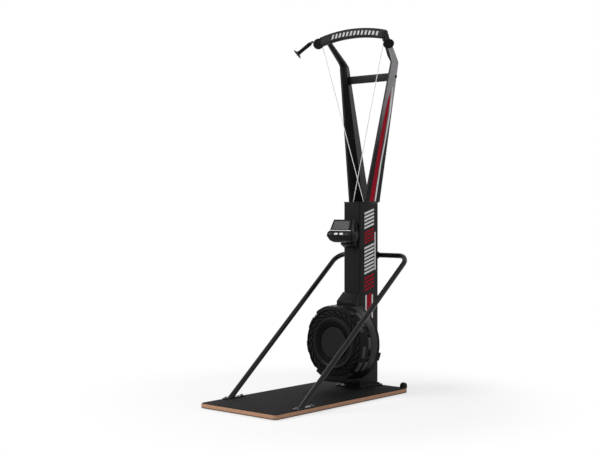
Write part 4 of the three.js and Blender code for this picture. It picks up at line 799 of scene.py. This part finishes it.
arch_stations = [-ARCH_HALF + 2 * ARCH_HALF * i / 72 for i in range(73)]
arch = skin([[on_arch(x, y, up) for y, up in ARCH_SECTION] for x in arch_stations])
arch_tools = []
for side, sign in SIDES:
    arch_tools += [turn(housing_profile(0.4), pulley_place(side), 64), mouth(side, sign, 5.2)]
piece("arch_bar", boolean(arch, arch_tools), "frame", "top_arch_bar", bevel=(0.8, 2, 50))
for side, sign in SIDES:
    # Weld where the arm's tip meets the bar's back
    out, _, _, width, _ = arm_at(1030)
    seam = [W(sign * (ARM_X + out - width / 2 + dx), 1069.6, z) for dx, z in
            ((-8, 2216), (-7.4, 2236), (-7, 2256), (0, 2258.6), (7, 2257), (8, 2236), (7.6, 2216))]
    weld(f"{side}_tip_weld", seam, 4, 1.8, closed=False)

# Pulleys and their housings
WHEEL_SIDE = [(5.0, 5.5), (7.5, 5.5), (8, 4.2), (19, 4.2), (19.6, 5.5), (26, 5.5), (26, 4.4)]
WHEEL = [(r, -s) for r, s in WHEEL_SIDE]
WHEEL += [(WRAP - 2.7 * cos(radians(a)), 2.8 * sin(radians(a))) for a in range(-60, 61, 15)] + WHEEL_SIDE[::-1]
PIN_END = [(4, 14.8), (7, 14.8), (7, 15.6), (6.4, 16.6), (5.2, 17.2), (3.2, 17.3), (3.2, 15.9), (0, 15.6)]
PIN = [(r, -s) for r, s in PIN_END[::-1]] + PIN_END
for side, sign in SIDES:
    place = pulley_place(side)
    tools = [rod(27.4, -6.9, 6.9, place, 64), mouth(side, sign, 5.0), swing_slot(side, sign), rod(4.3, -30, 30, place)]
    piece(f"{side}_pulley_case", boolean(turn(housing_profile(), place), tools), "pulley",
          f"{side}_pulley_housing", bevel=(0.5, 2, 50))
    piece(f"{side}_pulley_wheel", turn(WHEEL, place, 72), "pulley", f"{side}_top_pulley",
          body=f"{side}_pulley", bevel=(0.3, 1, 50))
    piece(f"{side}_pulley_pin", turn(PIN, place, 36), "black_bolt", f"{side}_pulley_axle", bevel=(0.25, 1, 50))

# Cord stop balls and handles
HANDLE_DIP = radians(39.6)
GRIP = [(0, 12), (3, 12), (3, 0.6), (3.4, 0), (8.2, 0), (9, 0.6), (9.8, 3), (11.6, 8), (12.7, 12.4)]
for station in (14 + 76 * k / 60 for k in range(61)):
    ripple = 0.55 * (0.5 - 0.5 * cos(2 * pi * (station - 20) / 7.6)) if 20 < station < 81 else 0.0
    GRIP.append((13 - min(1.0, (station - 14) / 74) - ripple, station))
GRIP += [(12.3, 96), (13.2, 101.5), (15, 106), (21, 110), (31, 113.6), (32.8, 114.3), (33.5, 115.3), (33.5, 116.6),
         (32.8, 117.6), (31, 118), (20, 117.4), (12, 117.2), (0, 117.2)]
STOP = [(BALL_RADIUS * sin(radians(a)), -BALL_RADIUS * cos(radians(a))) for a in range(0, 181, 9)]
for side, sign in SIDES:
    ball = BALL[side]
    piece(f"{side}_stop_ball", turn(STOP, facing(ball - cord_route(side, sign)[1][-1], ball), 40), "handle",
          f"{side}_cord_stop", body=f"{side}_cord_end")
    way = (PULLEY[side][1] * cos(HANDLE_DIP) - UP * sin(HANDLE_DIP)).normalized()
    place = facing(way, ball + way * ((BALL_RADIUS + CORD_GAP) / 1000))
    piece(f"{side}_grip", turn(GRIP, place, 72), "handle", f"{side}_handle_grip",
          body=f"{side}_handle")

# Brace: one bent tube on two foot plates, clamped to the column's back
BRACE_Y, BRACE_Z = 1264, 863
TUBE_RADIUS = 16
SHOE_X, SHOE_TOP = 278, 38.9
corner = W(286, BRACE_Y, BRACE_Z)
foot = W(SHOE_X, 240, 39.2)
leg = (foot - corner).normalized()
leg_end = foot + leg * 0.048
bent = bend(corner, leg_end, W(0, BRACE_Y, BRACE_Z), 76, 22)
half = resample([leg_end, bent[0]], 80)[:-1] + bent
mirrored = [Vector((-p.x, p.y, p.z)) for p in reversed(half)]
across = resample([bent[-1], mirrored[0]], 60)[1:-1]
piece("brace_tube", trim(sweep(half + across + mirrored, TUBE_RADIUS, 36), W(0, 0, 39.2), -UP), "brace",
      "support_brace")
for side, sign in SIDES:
    x = sign * SHOE_X
    holes = [rod(4.5, 0, 20, facing(UP, W(x, y, 26)), 28) for y in (194, 330)]
    piece(f"{side}_shoe_plate", boolean(plate(rounded(x - 17, 178, x + 17, 346, 8, 8), 32.9, SHOE_TOP), holes), "brace",
          f"{side}_brace_foot_plate", bevel=(1.2, 3))
    bolts(f"{side}_shoe_bolt", [(x, y, SHOE_TOP) for y in (194, 330)], UP, 13, 6.5, 9.5, thread=6)
    # The tube meets its plate in a long ellipse, with a weld round it
    lean = Vector((sign * leg.x, leg.y, leg.z))
    other = lean.cross(RIGHT).normalized()
    ring = []
    for p in hoop(Vector(), other.cross(lean).normalized(), other, 16.2, 48):
        q = Vector((sign * foot.x, foot.y, foot.z)) + p - lean * (p.z / lean.z)
        q.z += 0.0004
        ring.append(q)
    weld(f"{side}_shoe_weld", ring, 4, 2.0, "brace")

tube_cut = rod(TUBE_RADIUS + 0.3, 0, 240, facing(RIGHT, W(-120, BRACE_Y, BRACE_Z)), 48)
piece("saddle", boolean(box(-48, 1238.3, 840, 48, 1263.7, 886), [tube_cut]), "brace", "brace_saddle",
      bevel=(1.6, 3))
strap = [(BRACE_Y, 840), (1269, 840), *arc(BRACE_Y, BRACE_Z, 20.3, -78, 78, 24), (1269, 886), (BRACE_Y, 886)]
strap += arc(BRACE_Y, BRACE_Z, TUBE_RADIUS + 0.3, 90, -90, 24)
piece("strap", side_plate(strap, -46, 46), "brace", "brace_clamp", bevel=(0.9, 2))

# Fan housing: everything is turned about the drive shaft. FAN turns local Z into +Y, so
# a station runs from the fan's front towards the column.
FAN = Matrix.Translation(W(0, SHAFT_Y, SHAFT_Z)) @ Matrix.Rotation(radians(-90), 4, "X")
ROOF = 228.0  # the flat top's height above the shaft
COVER = [
    (62, 17), (98, 17), (101, 16.2), (104, 14.6), (139, 4.6), (143, 3.1), (146, 0.9), (148, 0.1), (151, 0), (154, 0.1),
    (156, 0.8), (158.6, 3.6), (161, 6.2), (164, 6.9), (184, 8.0), (200, 8.8), (202.4, 9.4), (203.4, 11), (204.4, 15.4),
    (205.4, 16.8), (207, 17.1), (208.6, 16.8), (209.4, 15.6), (210.4, 8), (211, 5.8), (212, 5.05), (213.6, 5.1),
    (214.8, 5.9), (217.4, 10.8), (218.4, 13), (221, 16.4), (229, 25.6), (236, 34), (239.2, 38.2), (240, 40),
    (237, 40), (235.6, 37.6), (226, 26.8), (218, 20), (202, 20), (199, 12), (181, 10.8), (158, 9), (155, 4.6),
    (150, 3.2), (145, 7.4), (101, 20), (62, 20),
]
CAP = [(0, 9.2), (40, 9.0), (66, 8.4), (84, 7.6), (93, 7.2), (97, 7.5), (99.2, 8.6), (100, 10.2), (100, 15.8),
       (98.6, 16.7), (56, 16.7), (56, 24), (0, 24)]
BANDS = (
    [(237, 40.3), (239.3, 40.3), (240, 41), (240, 45.6), (239.4, 46.3), (237, 46.3)],
    [(237, 74.3), (239.4, 74.3), (240, 75), (240, 79.6), (239.3, 80.3), (237, 80.3)],
)
DRUM = [
    (218, 80.6), (238, 80.6), (240.4, 81.2), (241.6, 82.6), (242, 84.6), (242, 150.6), (241.6, 152.6), (240.4, 154),
    (238, 154.6), (200, 154.6), (199, 153.9), (107, 153.9), (106, 154.6), (24.3, 154.6), (24.3, 151.6), (235, 151.6),
    (238.4, 149.6), (239, 147.6), (239, 83.6), (218, 83.6),
]
DRUM_LIP = [(240, 149.4), (246.4, 150), (248, 151), (248, 153.6), (247, 154.6), (240, 154.6)]
SHOULDER_LUG = [(221.5, 20), (226.2, 15.6), (227.8, 15.9), (237.9, 28.2), (238, 29.8), (233.5, 33.6)]
BAND_LUG = [(238.6, 48), (243, 49.5), (244.2, 51.5), (244.2, 70.5), (243, 72.5), (238.6, 74)]
DAMPER = [(55.0, 155.8), (222.6, 155.8), (223, 156.2), (223, 158.4), (222.6, 158.8), (55.0, 158.8)]
HUB = [(22.3, 154.9), (53.4, 154.9), (54.4, 155.9), (54.4, 186.7), (22.3, 186.7)]
BEARING = [(8.7, 372.7), (21, 372.7), (22, 373.5), (22, 377), (32, 377), (32, 379.5), (31, 380.7), (20, 380.7),
           (19, 380.1), (10.5, 380.1), (10, 380.7), (8.7, 380.7)]
LOUVRES = [2 * pi * i / 26 for i in range(26)]
LOUVRE_LEAN = radians(20)


def housing_piece(name, bm, bevel, node=None, material="housing"):
    return piece(name, bm, material, node, bevel=bevel)


def below_roof(bm, y0, y1, *tools):
    """bm with the tools and all above the roof cut away."""
    return boolean(bm, [*tools, box(-300, y0, SHAFT_Z + ROOF, 300, y1, 700)])


def roof_box(half, y0, y1):
    return box(-half, y0, SHAFT_Z + ROOF - 3, half, y1, SHAFT_Z + ROOF)


def on_fan(radius, angle, station):
    """A world point about the shaft, its angle from +X towards +Z."""
    return W(radius * cos(angle), SHAFT_Y + station, SHAFT_Z + radius * sin(angle))


def annulus(r0, r1, y0, y1, count=200):
    return turn([(r0, y0), (r1, y0), (r1, y1), (r0, y1)], FAN, count)


def sector(r0, r1, middle, half, y0, y1, steps=4):
    """A piece of a ring between two radii; angles in degrees from +X towards +Z."""
    outline = arc(0, 0, r1, middle - half, middle + half, steps) + arc(0, 0, r0, middle + half, middle - half, steps)
    return face_plate([(x, SHAFT_Z + z) for x, z in outline], SHAFT_Y + y0, SHAFT_Y + y1)


def louvre_line(inner, outer):
    """The ends of a louvre's slanted line, the way along it and the way across it."""
    low = Vector((inner, 0.0))
    high = Vector((outer * cos(LOUVRE_LEAN), outer * sin(LOUVRE_LEAN)))
    way = (high - low).normalized()
    return low, high, way, Vector((-way.y, way.x))


def spun(p, angle, station):
    """A point of the front view turned about the shaft, at a station."""
    x = p.x * cos(angle) - p.y * sin(angle)
    z = p.x * sin(angle) + p.y * cos(angle)
    return W(x, SHAFT_Y + station, SHAFT_Z + z)


def louvre(angle, half=3.4):
    """A slanted round-ended slot through the louvre ring."""
    low, high, way, side = louvre_line(167.0, 198.0)
    points = []
    for end, sign in ((high, 1), (low, -1)):
        for c in (radians(a) for a in range(0, 181, 30)):
            points.append(end + (side * (half * cos(c)) + way * (half * sin(c))) * sign)
    return skin([[spun(p, angle, station) for p in points] for station in (-4, 30)])


def fin(angle):
    """A raised blade beside a slot, which guides the air."""
    low, high, way, side = louvre_line(166.0, 199.0)
    rings = []
    for t in (0.0, 0.12, 0.5, 0.88, 1.0):
        p = low.lerp(high, t) + side * 5.6
        lift = 2.2 * sin(pi * min(max(t, 0.03), 0.97)) ** 0.6
        front = 7.0 + 1.9 * t
        section = ((-1.1, 2.0), (-1.1, 0.8 - lift), (-0.5, -lift), (0.5, -lift), (1.1, 0.8 - lift), (1.1, 2.0))
        rings.append([spun(p + side * offset, angle, front + depth) for offset, depth in section])
    return skin(rings)


def lug(profile, middle, half, steps=6):
    """A raised pad on the fan's rim: a (radius, station) outline swept through an angle in degrees."""
    angles = [radians(middle - half + 2 * half * i / steps) for i in range(steps + 1)]
    return skin([[on_fan(r, a, y) for r, y in profile] for a in angles])


def vent_cutters(y0, y1):
    return join(*[sector(110, 196, 45 * k, 11, y0, y1, 8) for k in range(8)])


cover = below_roof(turn(COVER, FAN, 208), 800, 897.1, join(*[louvre(a) for a in LOUVRES]))
fins = join(*[fin(a) for a in LOUVRES])
# The front piece of the roof keeps within the cover's cone
cone = turn([(0, 12), (218, 12), (240, 40), (0, 40)], FAN, 208)
cover_roof = boolean(roof_box(83, 877, 897), [cone], "INTERSECT")
fan_cover = housing_piece("fan_cover", join(cover, fins, cover_roof), (0.5, 1, 45), "fan_front_cover")
# Painted shade: the recess between the cap and the ring gets the darker plastic, where shade falls.
fan_cover.data.materials.append(M["recess_shade"])
for polygon in fan_cover.data.polygons:
    away = polygon.center - W(0, SHAFT_Y, SHAFT_Z)
    if 0.088 < hypot(away.x, away.z) < 0.129 and away.y < 0.0175:
        polygon.material_index = 1

housing_piece("louvre_screen", annulus(158, 206, 20.6, 21.4, 160), None, material="mesh")
housing_piece("outlet_screen", below_roof(annulus(234.4, 235.2, 41, 80, 160), 880, 960), None, material="mesh")
# The lugs' lighter plastic is a painted highlight, standing in for lamp glints on the rim.
for word, outline, angles, half in (("shoulder", SHOULDER_LUG, (30, -10, -36, 150, 190, 216), 9),
                                    ("band", BAND_LUG, (45, 4, -33, 135, 176, 213), 8)):
    for k, middle in enumerate(angles):
        housing_piece(f"{word}_lug_{k + 1}", lug(outline, middle, half), (1.6, 3, 40), material="lug")

# A hood over the cover, a foot under it and a dark cradle round the drum's lower third, as painted shade
housing_piece("fan_hood", below_roof(sector(208, 236.5, 90, 38, 9, 40.2, 40), 850, 900), (2.5, 3, 40))
foot_block = boolean(box(-98, 866, 81.5, 98, 1011, 140), [rod(208, -20, 200, FAN, 160)])
housing_piece("fan_foot", foot_block, (2.5, 3, 40))
housing_piece("fan_foot_ring", sector(208, 236.5, 270, 38, 9.3, 40.2, 40), (2.5, 3, 40))
# Painted shade: the dark cradle darkens the drum's lower third.
piece("painted_shade_cradle", sector(242.2, 245.4, 270, 52, 84, 150, 60), "frame", bevel=(1.0, 2, 40))
piece("fan_cap", turn(CAP, FAN, 128), "cap", "fan_centre_cap")

bar_angles = [6 + 12 * i for i in range(30)]
bars = [sector(237.4, 239.7, middle, degrees(4.5 / 240), 46.0, 74.6, 3) for middle in bar_angles
        if 240 * sin(radians(middle)) < 226]
grille = [below_roof(turn(band, FAN, 180), 880, 960) for band in BANDS] + [below_roof(join(*bars), 880, 960)]
housing_piece("fan_grille", join(*grille, roof_box(74.9, 897.3, 937.3)), (0.6, 2, 45), "outlet_grille")

drum = below_roof(turn(DRUM, FAN, 200), 930, 1020, vent_cutters(145, 165))
ribs = [annulus(240.5, 242.7, 92, 94.2), annulus(240.5, 242.7, 141, 143.2), turn(DRUM_LIP, FAN, 200)]
ribs = [below_roof(rib, 930, 1020) for rib in ribs]
housing_piece("fan_drum", join(drum, roof_box(81.1, 937.6, 1011.6), *ribs), (0.6, 2, 45), "fan_rear_housing", "band")
for k, middle in enumerate((20, 65, 112, 158, 202, 248, 292, 338)):
    button_screw(f"drum_screw_{k + 1}", on_fan(228, radians(middle), 154.6), REARWARD, 3.6, 1.0)
for k, a in enumerate(radians(middle) for middle in (10, 55, 125, 170, 215, 260, 305, 350)):
    way = (cos(a) * 0.72, -0.69, sin(a) * 0.72)
    button_screw(f"cover_screw_{k + 1}", on_fan(228.5, a, 25.0), way, 4.2, 1.8)

disc = boolean(turn(DAMPER, FAN, 160), [vent_cutters(150, 165)])
lever = [sector(217, 254, -18, 6, 155.8, 158.8, 8), sector(250.6, 254, -18, 6, 155.8, 167.8, 8)]
piece("damper", join(disc, *lever), "damper", "air_damper", body="damper", bevel=(0.7, 2, 45))
flange = face_plate([(x, SHAFT_Z + z) for x, z in rounded(-58, -58, 58, 58, 12)], 1035.7, 1043.7)
flange = boolean(flange, [shaft_drill(1020, 1060, 22.3)])
piece("fan_hub", join(turn(HUB, FAN), flange), "frame", "fan_mount_hub", bevel=(1.0, 2, 45))
bolts("hub_bolt", [(x, 1035.7, SHAFT_Z + z) for z in (-45, 45) for x in (-45, 45)], -REARWARD, 10, 4.6, 7)
piece("rear_hub_bearing", turn(BEARING, facing(REARWARD, W(0, SHAFT_Y, SHAFT_Z)), 72), "steel", "rear_bearing")

# Neck cover between the fan and the column
NECK = [(1043.7, 632), (1037, 632), (1033, 630.6), (1030, 627.8), (974.4, 582.0), (972.4, 579.4), (971.7, 576),
        (971.7, 553.3), (1043.7, 553.3)]
housing_piece("neck_cover", side_plate(NECK, -65, 65), (4.0, 4, 50), "fan_neck_cover")

# Console. The case's sections are heights, each with its front and its half width.
CASE = (
    (950.0, 958.5, 73.5), (950.8, 956.1, 75.5), (953.0, 950.5, 79.4), (958.0, 940.1, 86.4), (961.0, 934.5, 89.4),
    (966.0, 929.9, 91.8), (985.0, 916.3, 98.2), (990.0, 912.7, 99.6), (993.0, 911.2, 100.0), (996.5, 911.4, 99.5),
    (1014.0, 915.6, 95.9), (1017.6, 916.5, 95.1), (1018.6, 917.9, 94.1), (1019.0, 919.9, 92.6), (1021.8, 923.1, 88.0),
    (1024.0, 924.8, 86.0), (1089.0, 950.7, 74.9), (1092.4, 952.5, 74.0), (1093.6, 954.5, 72.8), (1094.0, 957.9, 70.5),
)
CASE_INSIDE = ((953.5, 957.5, 73), (961, 938.5, 86.5), (993, 915.5, 96.5), (1016, 921, 91.5), (1024, 930, 82.5),
               (1090.5, 956.5, 71))
HINGE_Y, HINGE_Z = 1007.5, 966
SCREEN = hypot(28, 70)  # the screen's length up its slant
BUTTONS = (("reset", -64.5, "button_grey"), ("mode", -21.5, "button_white"), ("start", 21.5, "button_white"),
           ("units", 64.5, "button_grey"))


def console_piece(name, bm, node=None, bevel=None, material="console"):
    piece(name, bm, material, node, body="console", bevel=bevel)


def console_ring(z, front, half, rear=979.5, corner=8.0):
    fronts = corners(((corner - half, front + corner, 180), (half - corner, front + corner, 270)), corner, 6)
    return [W(x, y, z) for x, y in [(-half, rear), *fronts, (half, rear)]]


def slanted_face(y, z, lean):
    """Gives world points on a slanted face of the case: across, up the face and into the case."""
    def at(x, up, into):
        return W(x, y + up * sin(lean) + into * cos(lean), z + up * cos(lean) - into * sin(lean))

    return at


on_screen = slanted_face(924.5, 1024, atan2(28, 70))
on_band = slanted_face(913.5, 1005.5, atan2(6, 25))


def screen_slab(low, top, half_low, half_high, r, front, back):
    """A slab on the screen with rounded corners, its upper edge so far below the screen's end."""
    high = SCREEN - top
    centres = ((r - half_low, low + r, 180), (half_low - r, low + r, 270), (half_high - r, high - r, 0),
               (r - half_high, high - r, 90))
    return slab(corners(centres, r, 5), front, back, on_screen)


case = skin([console_ring(*level) for level in CASE])
hollows = [skin([console_ring(*level, 987.5, 6) for level in CASE_INSIDE]),
           screen_slab(5.7, 7.7, 68.3, 62.3, 3, -8, 2.3), screen_slab(10.5, 12.5, 63, 57.5, 2, -2, 9)]
for _, x, _ in BUTTONS:
    hollows.append(slab([(x + px, pz) for px, pz in rounded(-15.4, -6.9, 15.4, 6.9, 6.4)], -8, 10, on_band))
console_piece("console_case", boolean(case, hollows), "console_front_case", (0.5, 2, 50))
console_piece("console_lens", screen_slab(6, 8, 68, 62, 2.8, 0.4, 2.0), "console_screen_lens",
              (0.25, 1, 50))
console_piece("console_panel", screen_slab(8.5, 10, 66, 60.5, 1.8, 0.15, 0.5), material="screen")
RIDGE = ((0.4, -1.0), (3.6, -1.1), (3.9, -0.2), (3.6, 0.6), (0.4, 0.6), (0.1, -0.2))
ridge = skin([[on_screen(-85.0 + 170.0 * i / 24, up, into) for up, into in RIDGE] for i in range(25)])
console_piece("console_ridge", ridge, material="white")
KEY = ((1.5, 4.3), (1.5, 2.8), (0.0, 2.7), (0.0, -1.1), (-0.35, -1.65), (-1.0, -1.95), (-2.6, -2.0))
for name, x, material in BUTTONS:
    rings = []
    for grow, depth in KEY:
        shape = rounded(-15 - grow, -6.5 - grow, 15 + grow, 6.5 + grow, 6 + grow)
        rings.append([on_band(x + px, pz, depth) for px, pz in shape])
    piece(f"{name}_key", skin(rings), material, f"console_{name}_button", body=f"{name}_button")


def rear_ring(y, inset, soft=5):
    """The rear case's section, each corner softened by a short curve."""
    half = [(-76 + inset, 950 + inset), (-90 + inset, 961 + inset / 2), (-100 + inset, 993), (-95 + inset, 1018),
            (-74 + inset, 1094 - inset)]
    points = [half[0]] + [(-x, z) for x, z in half] + half[:0:-1]
    ring = []
    for k, point in enumerate(points):
        p, a, b = Vector(point), Vector(points[k - 1]), Vector(points[(k + 1) % len(points)])
        first = p + (a - p).normalized() * soft
        last = p + (b - p).normalized() * soft
        for t in (0, 0.25, 0.5, 0.75, 1):
            q = first * (1 - t) ** 2 + p * (2 * t * (1 - t)) + last * t ** 2
            ring.append(W(q.x, y, q.y))
    return ring


back = skin([rear_ring(y, inset) for y, inset in
             ((979.8, 0), (982, 0.2), (991, 3.6), (994.7, 6.2), (996.5, 8.8), (996.8, 11))])
hinge_line = facing(RIGHT, W(-17, HINGE_Y, HINGE_Z))
knuckle = turn([(4.3, 0), (8.4, 0), (9, 0.6), (9, 33.4), (8.4, 34), (4.3, 34)], hinge_line, 48)
knuckle_web = boolean(box(-17, 985.5, 961.5, 17, 1006.5, 974.9), [rod(8.6, -5, 60, hinge_line, 48)])
console_piece("console_back", join(back, join(knuckle, knuckle_web)), "console_rear_case",
              (0.5, 2, 50))
case_screws = [(-58, 996.8, 1072), (58, 996.8, 1072), (-66, 996.8, 975), (66, 996.8, 975)]
screws("console_screw", case_screws, REARWARD, 3.4, 0.9, body="console")

# Console bracket on the column
bracket = [face_plate(rounded(-31, 895, 31, 981, 6), 1038.7, 1043.7)]
bracket.append(side_plate([(1043.7, 914), (1030, 914), (993, 938), (993, 942), (1006, 953), (1043.7, 953)], -50, 50))
EAR = [(1043.7, 981), *arc(HINGE_Y, HINGE_Z, 9, 90, 270, 12), (1043.7, 901)]
for low, high in ((17.6, 25.6), (-25.6, -17.6)):
    pin_hole = rod(4.3, 0, 80, facing(RIGHT, W(-40, HINGE_Y, HINGE_Z)))
    bracket.append(boolean(side_plate(EAR, low, high), [pin_hole]))
piece("bracket", join(*bracket), "frame", "console_bracket", bevel=(0.9, 2, 45))
HINGE_PIN = [(0, -28.9), (5.6, -28.9), (6.5, -28.1), (6.5, -25.9), (4, -25.9), (4, 25.9), (6.5, 25.9), (6.5, 28.1),
             (5.6, 28.9), (0, 28.9)]
piece("hinge_pin", turn(HINGE_PIN, facing(RIGHT, W(0, HINGE_Y, HINGE_Z)), 36), "steel", "console_hinge_pin")
bolts("bracket_bolt", [(x, 1038.7, 904) for x in (-22, 22)], -REARWARD, 8, 4, 6, material="black_bolt")

# Tipping wheels and their bracket
AXLE_Y, AXLE_Z = 1252, 36
ROLLER_HALF = [(5.6, 12), (8.5, 12), (9.5, 11), (17.5, 10.2), (18.5, 12), (22.6, 12), (24.2, 11.3), (25, 9.6),
               (25, 4.2), (24.3, 3.6), (24.3, 2.6), (25, 2.0)]
ROLLER = [(r, -s) for r, s in ROLLER_HALF] + ROLLER_HALF[::-1]
for side, sign in SIDES:
    piece(f"{side}_roller", turn(ROLLER, facing(RIGHT, W(sign * WHEEL_X, AXLE_Y, AXLE_Z)), 80), "wheel",
          f"{side}_tipping_wheel", body=f"{side}_wheel", bevel=(0.3, 1, 50))
WHEEL_EAR = [(1242.3, 4.3), (1256, 4.3), (1263, 20), *arc(AXLE_Y, AXLE_Z, 11, 0, 180, 12), (1241, 30), (1242.3, 29)]
STUB = [(0, 0), (5, 0), (5, 29.2), (8.4, 29.2), (9, 29.7), (9, 30.5), (8.2, 31.2), (0, 31.2)]
carrier = [box(-242.4, 1242.3, 4.3, 242.4, 1246.3, 29.3)]
for side, sign in SIDES:
    carrier.append(side_plate(WHEEL_EAR, *sorted((sign * 238.4, sign * 242.4))))
    carrier.append(turn(STUB, facing((sign, 0, 0), W(sign * 238.4, AXLE_Y, AXLE_Z)), 32))
piece("wheel_carrier", join(*carrier), "frame", "rear_wheel_bracket", bevel=(0.5, 2, 45))
screws("carrier_screw", [(x, 1246.3, 17) for x in (-180, -60, 60, 180)], REARWARD, 5, 2.4)


# Colour stripes, 0.2 mm proud of the paint
def arm_stripe(name, sign, outline, material):
    """A stripe on an arm's outer face: (level, share, share) of the depth, from the rear edge."""
    normal = Vector((sign * 0.986, 0, -0.165))
    under, over = normal * 0.0002, normal * 0.00022
    rings = []
    for low, high in zip(outline, outline[1:]):
        steps = max(1, round((high[0] - low[0]) / 16))
        for i in range(steps + (high is outline[-1])):
            level, a, b = (p + (q - p) * i / steps for p, q in zip(low, high))
            out, front, depth, *_ = arm_at(level)
            rear = ARM_Y + front + depth
            a, b = (W(sign * (ARM_X + out), rear - share * depth, ARM_FOOT + level) for share in (a, b))
            rings.append([a - under, b - under, b + over, a + over])
    piece(name, skin(rings), material)


def side_mark(name, sign, y0, y1, z0, z1, rise, material):
    """A thin slanted print on the column's side."""
    outline = [(y0, z0), (y1, z0 + rise), (y1, z1 + rise), (y0, z1)]
    faces = sorted((sign * (COLUMN_HALF - 0.1), sign * (COLUMN_HALF + 0.2)))
    piece(name, side_plate(outline, *faces), material)


RED = ((3, 0.41, 0.72), (245, 0.45, 0.74), (403, 0.45, 0.78), (560, 0.38, 0.74), (644, 0.44, 0.68), (692, 0.50, 0.54))
WHITE = ((3, 0.28, 0.385), (245, 0.29, 0.40), (403, 0.21, 0.33), (560, 0.14, 0.29), (644, 0.17, 0.33),
         (726, 0.28, 0.36))
for side, sign in SIDES:
    arm_stripe(f"{side}_arm_red", sign, RED, "red")
    arm_stripe(f"{side}_arm_white", sign, WHITE, "white")

# Plain slanted bars and stripes on the column's sides: (material, from, to, bars)
BAR_GROUPS = (("white", 1046, 1160, 5), ("red", 952, 1036, 4), ("white", 758, 940, 8), ("red", 650, 748, 4))
for side, sign in SIDES:
    for group, (material, z0, z1, count) in enumerate(BAR_GROUPS):
        pitch = (z1 - z0) / count
        for i in range(count):
            z = z0 + pitch * i - 14
            side_mark(f"{side}_bar_{group + 1}_{i + 1}", sign, 1094, 1192, z, z + pitch * 0.56, 28, material)
    side_mark(f"{side}_thin_bar", sign, 1198, 1210, 770, 1010, 4, "white")
    for k, (y0, y1, material) in enumerate(((1104, 1117, "white"), (1120, 1166, "red"), (1169, 1182, "white"))):
        side_mark(f"{side}_foot_stripe_{k + 1}", sign, y0, y1, 462, 612, (y1 - y0) * 0.3, material)

# Plain dashes on the arch bar's front
for i in range(13):
    dash = [(-158 + 29.5 * i + dx, up) for dx, up in ((0, 17), (15, 17), (24, 43), (9, 43))]
    piece(f"arch_dash_{i + 1}", slab(dash, 1032.75, 1033.1, lambda x, up, y: on_arch(x, y, up)), "faded")

# Materials of the CAD parts that show as they are
CARRIED = {
    "steel": ("flywheel_fan", "drive_shaft", "front_bearing", "left_one_way_clutch", "right_one_way_clutch"),
    "pulley": ("left_cord_reel", "right_cord_reel"),
    "zinc": ("left_rewind_spring_case", "right_rewind_spring_case"),
    "green": ("console_circuit_board",),
}
for material, nodes in CARRIED.items():
    for node in nodes:
        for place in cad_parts[node].material_slots:
            place.material = M[material]


# Stage and light
def seen_directly(n):
    """One where the camera, a mirror or a glass looks straight at the surface."""
    rays = n.add("LightPath").outputs
    seen = n.calc("MAXIMUM", rays["Is Camera Ray"], rays["Is Glossy Ray"])
    return n.calc("MAXIMUM", seen, rays["Is Transmission Ray"])


def floor_material():
    """White where it is seen, apart from the machine's own soft shadow."""
    n = new_material("floor")
    for_light = n.add("BsdfDiffuse", {"Color": n.ramp(n.noise(3, 3), [(0.0, grey(0.90)), (1.0, grey(0.94))])})
    shadowed = n.add("BsdfDiffuse", {"Color": grey(0.40)})
    near = n.add("AddShader", {0: shadowed, 1: n.add("Emission", {"Color": grey(1), "Strength": 0.66})})
    far = n.add("Emission", {"Color": grey(1), "Strength": 1.0})
    length = n.add("VectorMath", {0: n.coords}, operation="LENGTH").outputs["Value"]
    seen = n.add("MixShader", {0: n.range(length, 0.9, 1.7, smooth=True), 1: near, 2: far})
    return n.close("OutputMaterial", n.add("MixShader", {0: seen_directly(n), 1: for_light, 2: seen}))


FLOOR_REACH, FLOOR_Z = 40, -0.0005  # in metres
floor_mesh = bmesh.new()
floor_mesh.faces.new([floor_mesh.verts.new((x * FLOOR_REACH, y * FLOOR_REACH, FLOOR_Z)) for x, y in
                      ((-1, -1), (1, -1), (1, 1), (-1, 1))])
floor = mesh_object("floor", floor_mesh)
floor.data.materials.append(floor_material())

studio = Nodes(bpy.data.worlds.new("studio"))
bpy.context.scene.world = studio.owner
soft = studio.add("Background", {"Color": grey(1), "Strength": 0.30})
bright = studio.add("Background", {"Color": grey(1), "Strength": 1.0})
studio.close("OutputWorld", studio.add("MixShader", {0: seen_directly(studio), 1: soft, 2: bright}))

for name, at, target, size, energy in (
    ("key", (-2.4, -3.8, 3.4), (0, 0, 1.1), (2.4, 2.4), 158),
    ("strip", (3.6, -3.3, 1.9), (0, 0, 1.4), (0.35, 1.8), 22),
    ("back", (1.4, 4.0, 3.4), (0, 0, 1.2), (3.0, 2.0), 50),
):
    light = bpy.data.lights.new(name, "AREA")
    light.shape = "RECTANGLE"
    light.size, light.size_y = size
    light.energy = energy
    lamp = add_object(name, light)
    lamp.location = at
    lamp.rotation_euler = (Vector(target) - Vector(at)).to_track_quat("-Z", "Y").to_euler()

bpy.context.scene.view_settings.view_transform = "Standard"
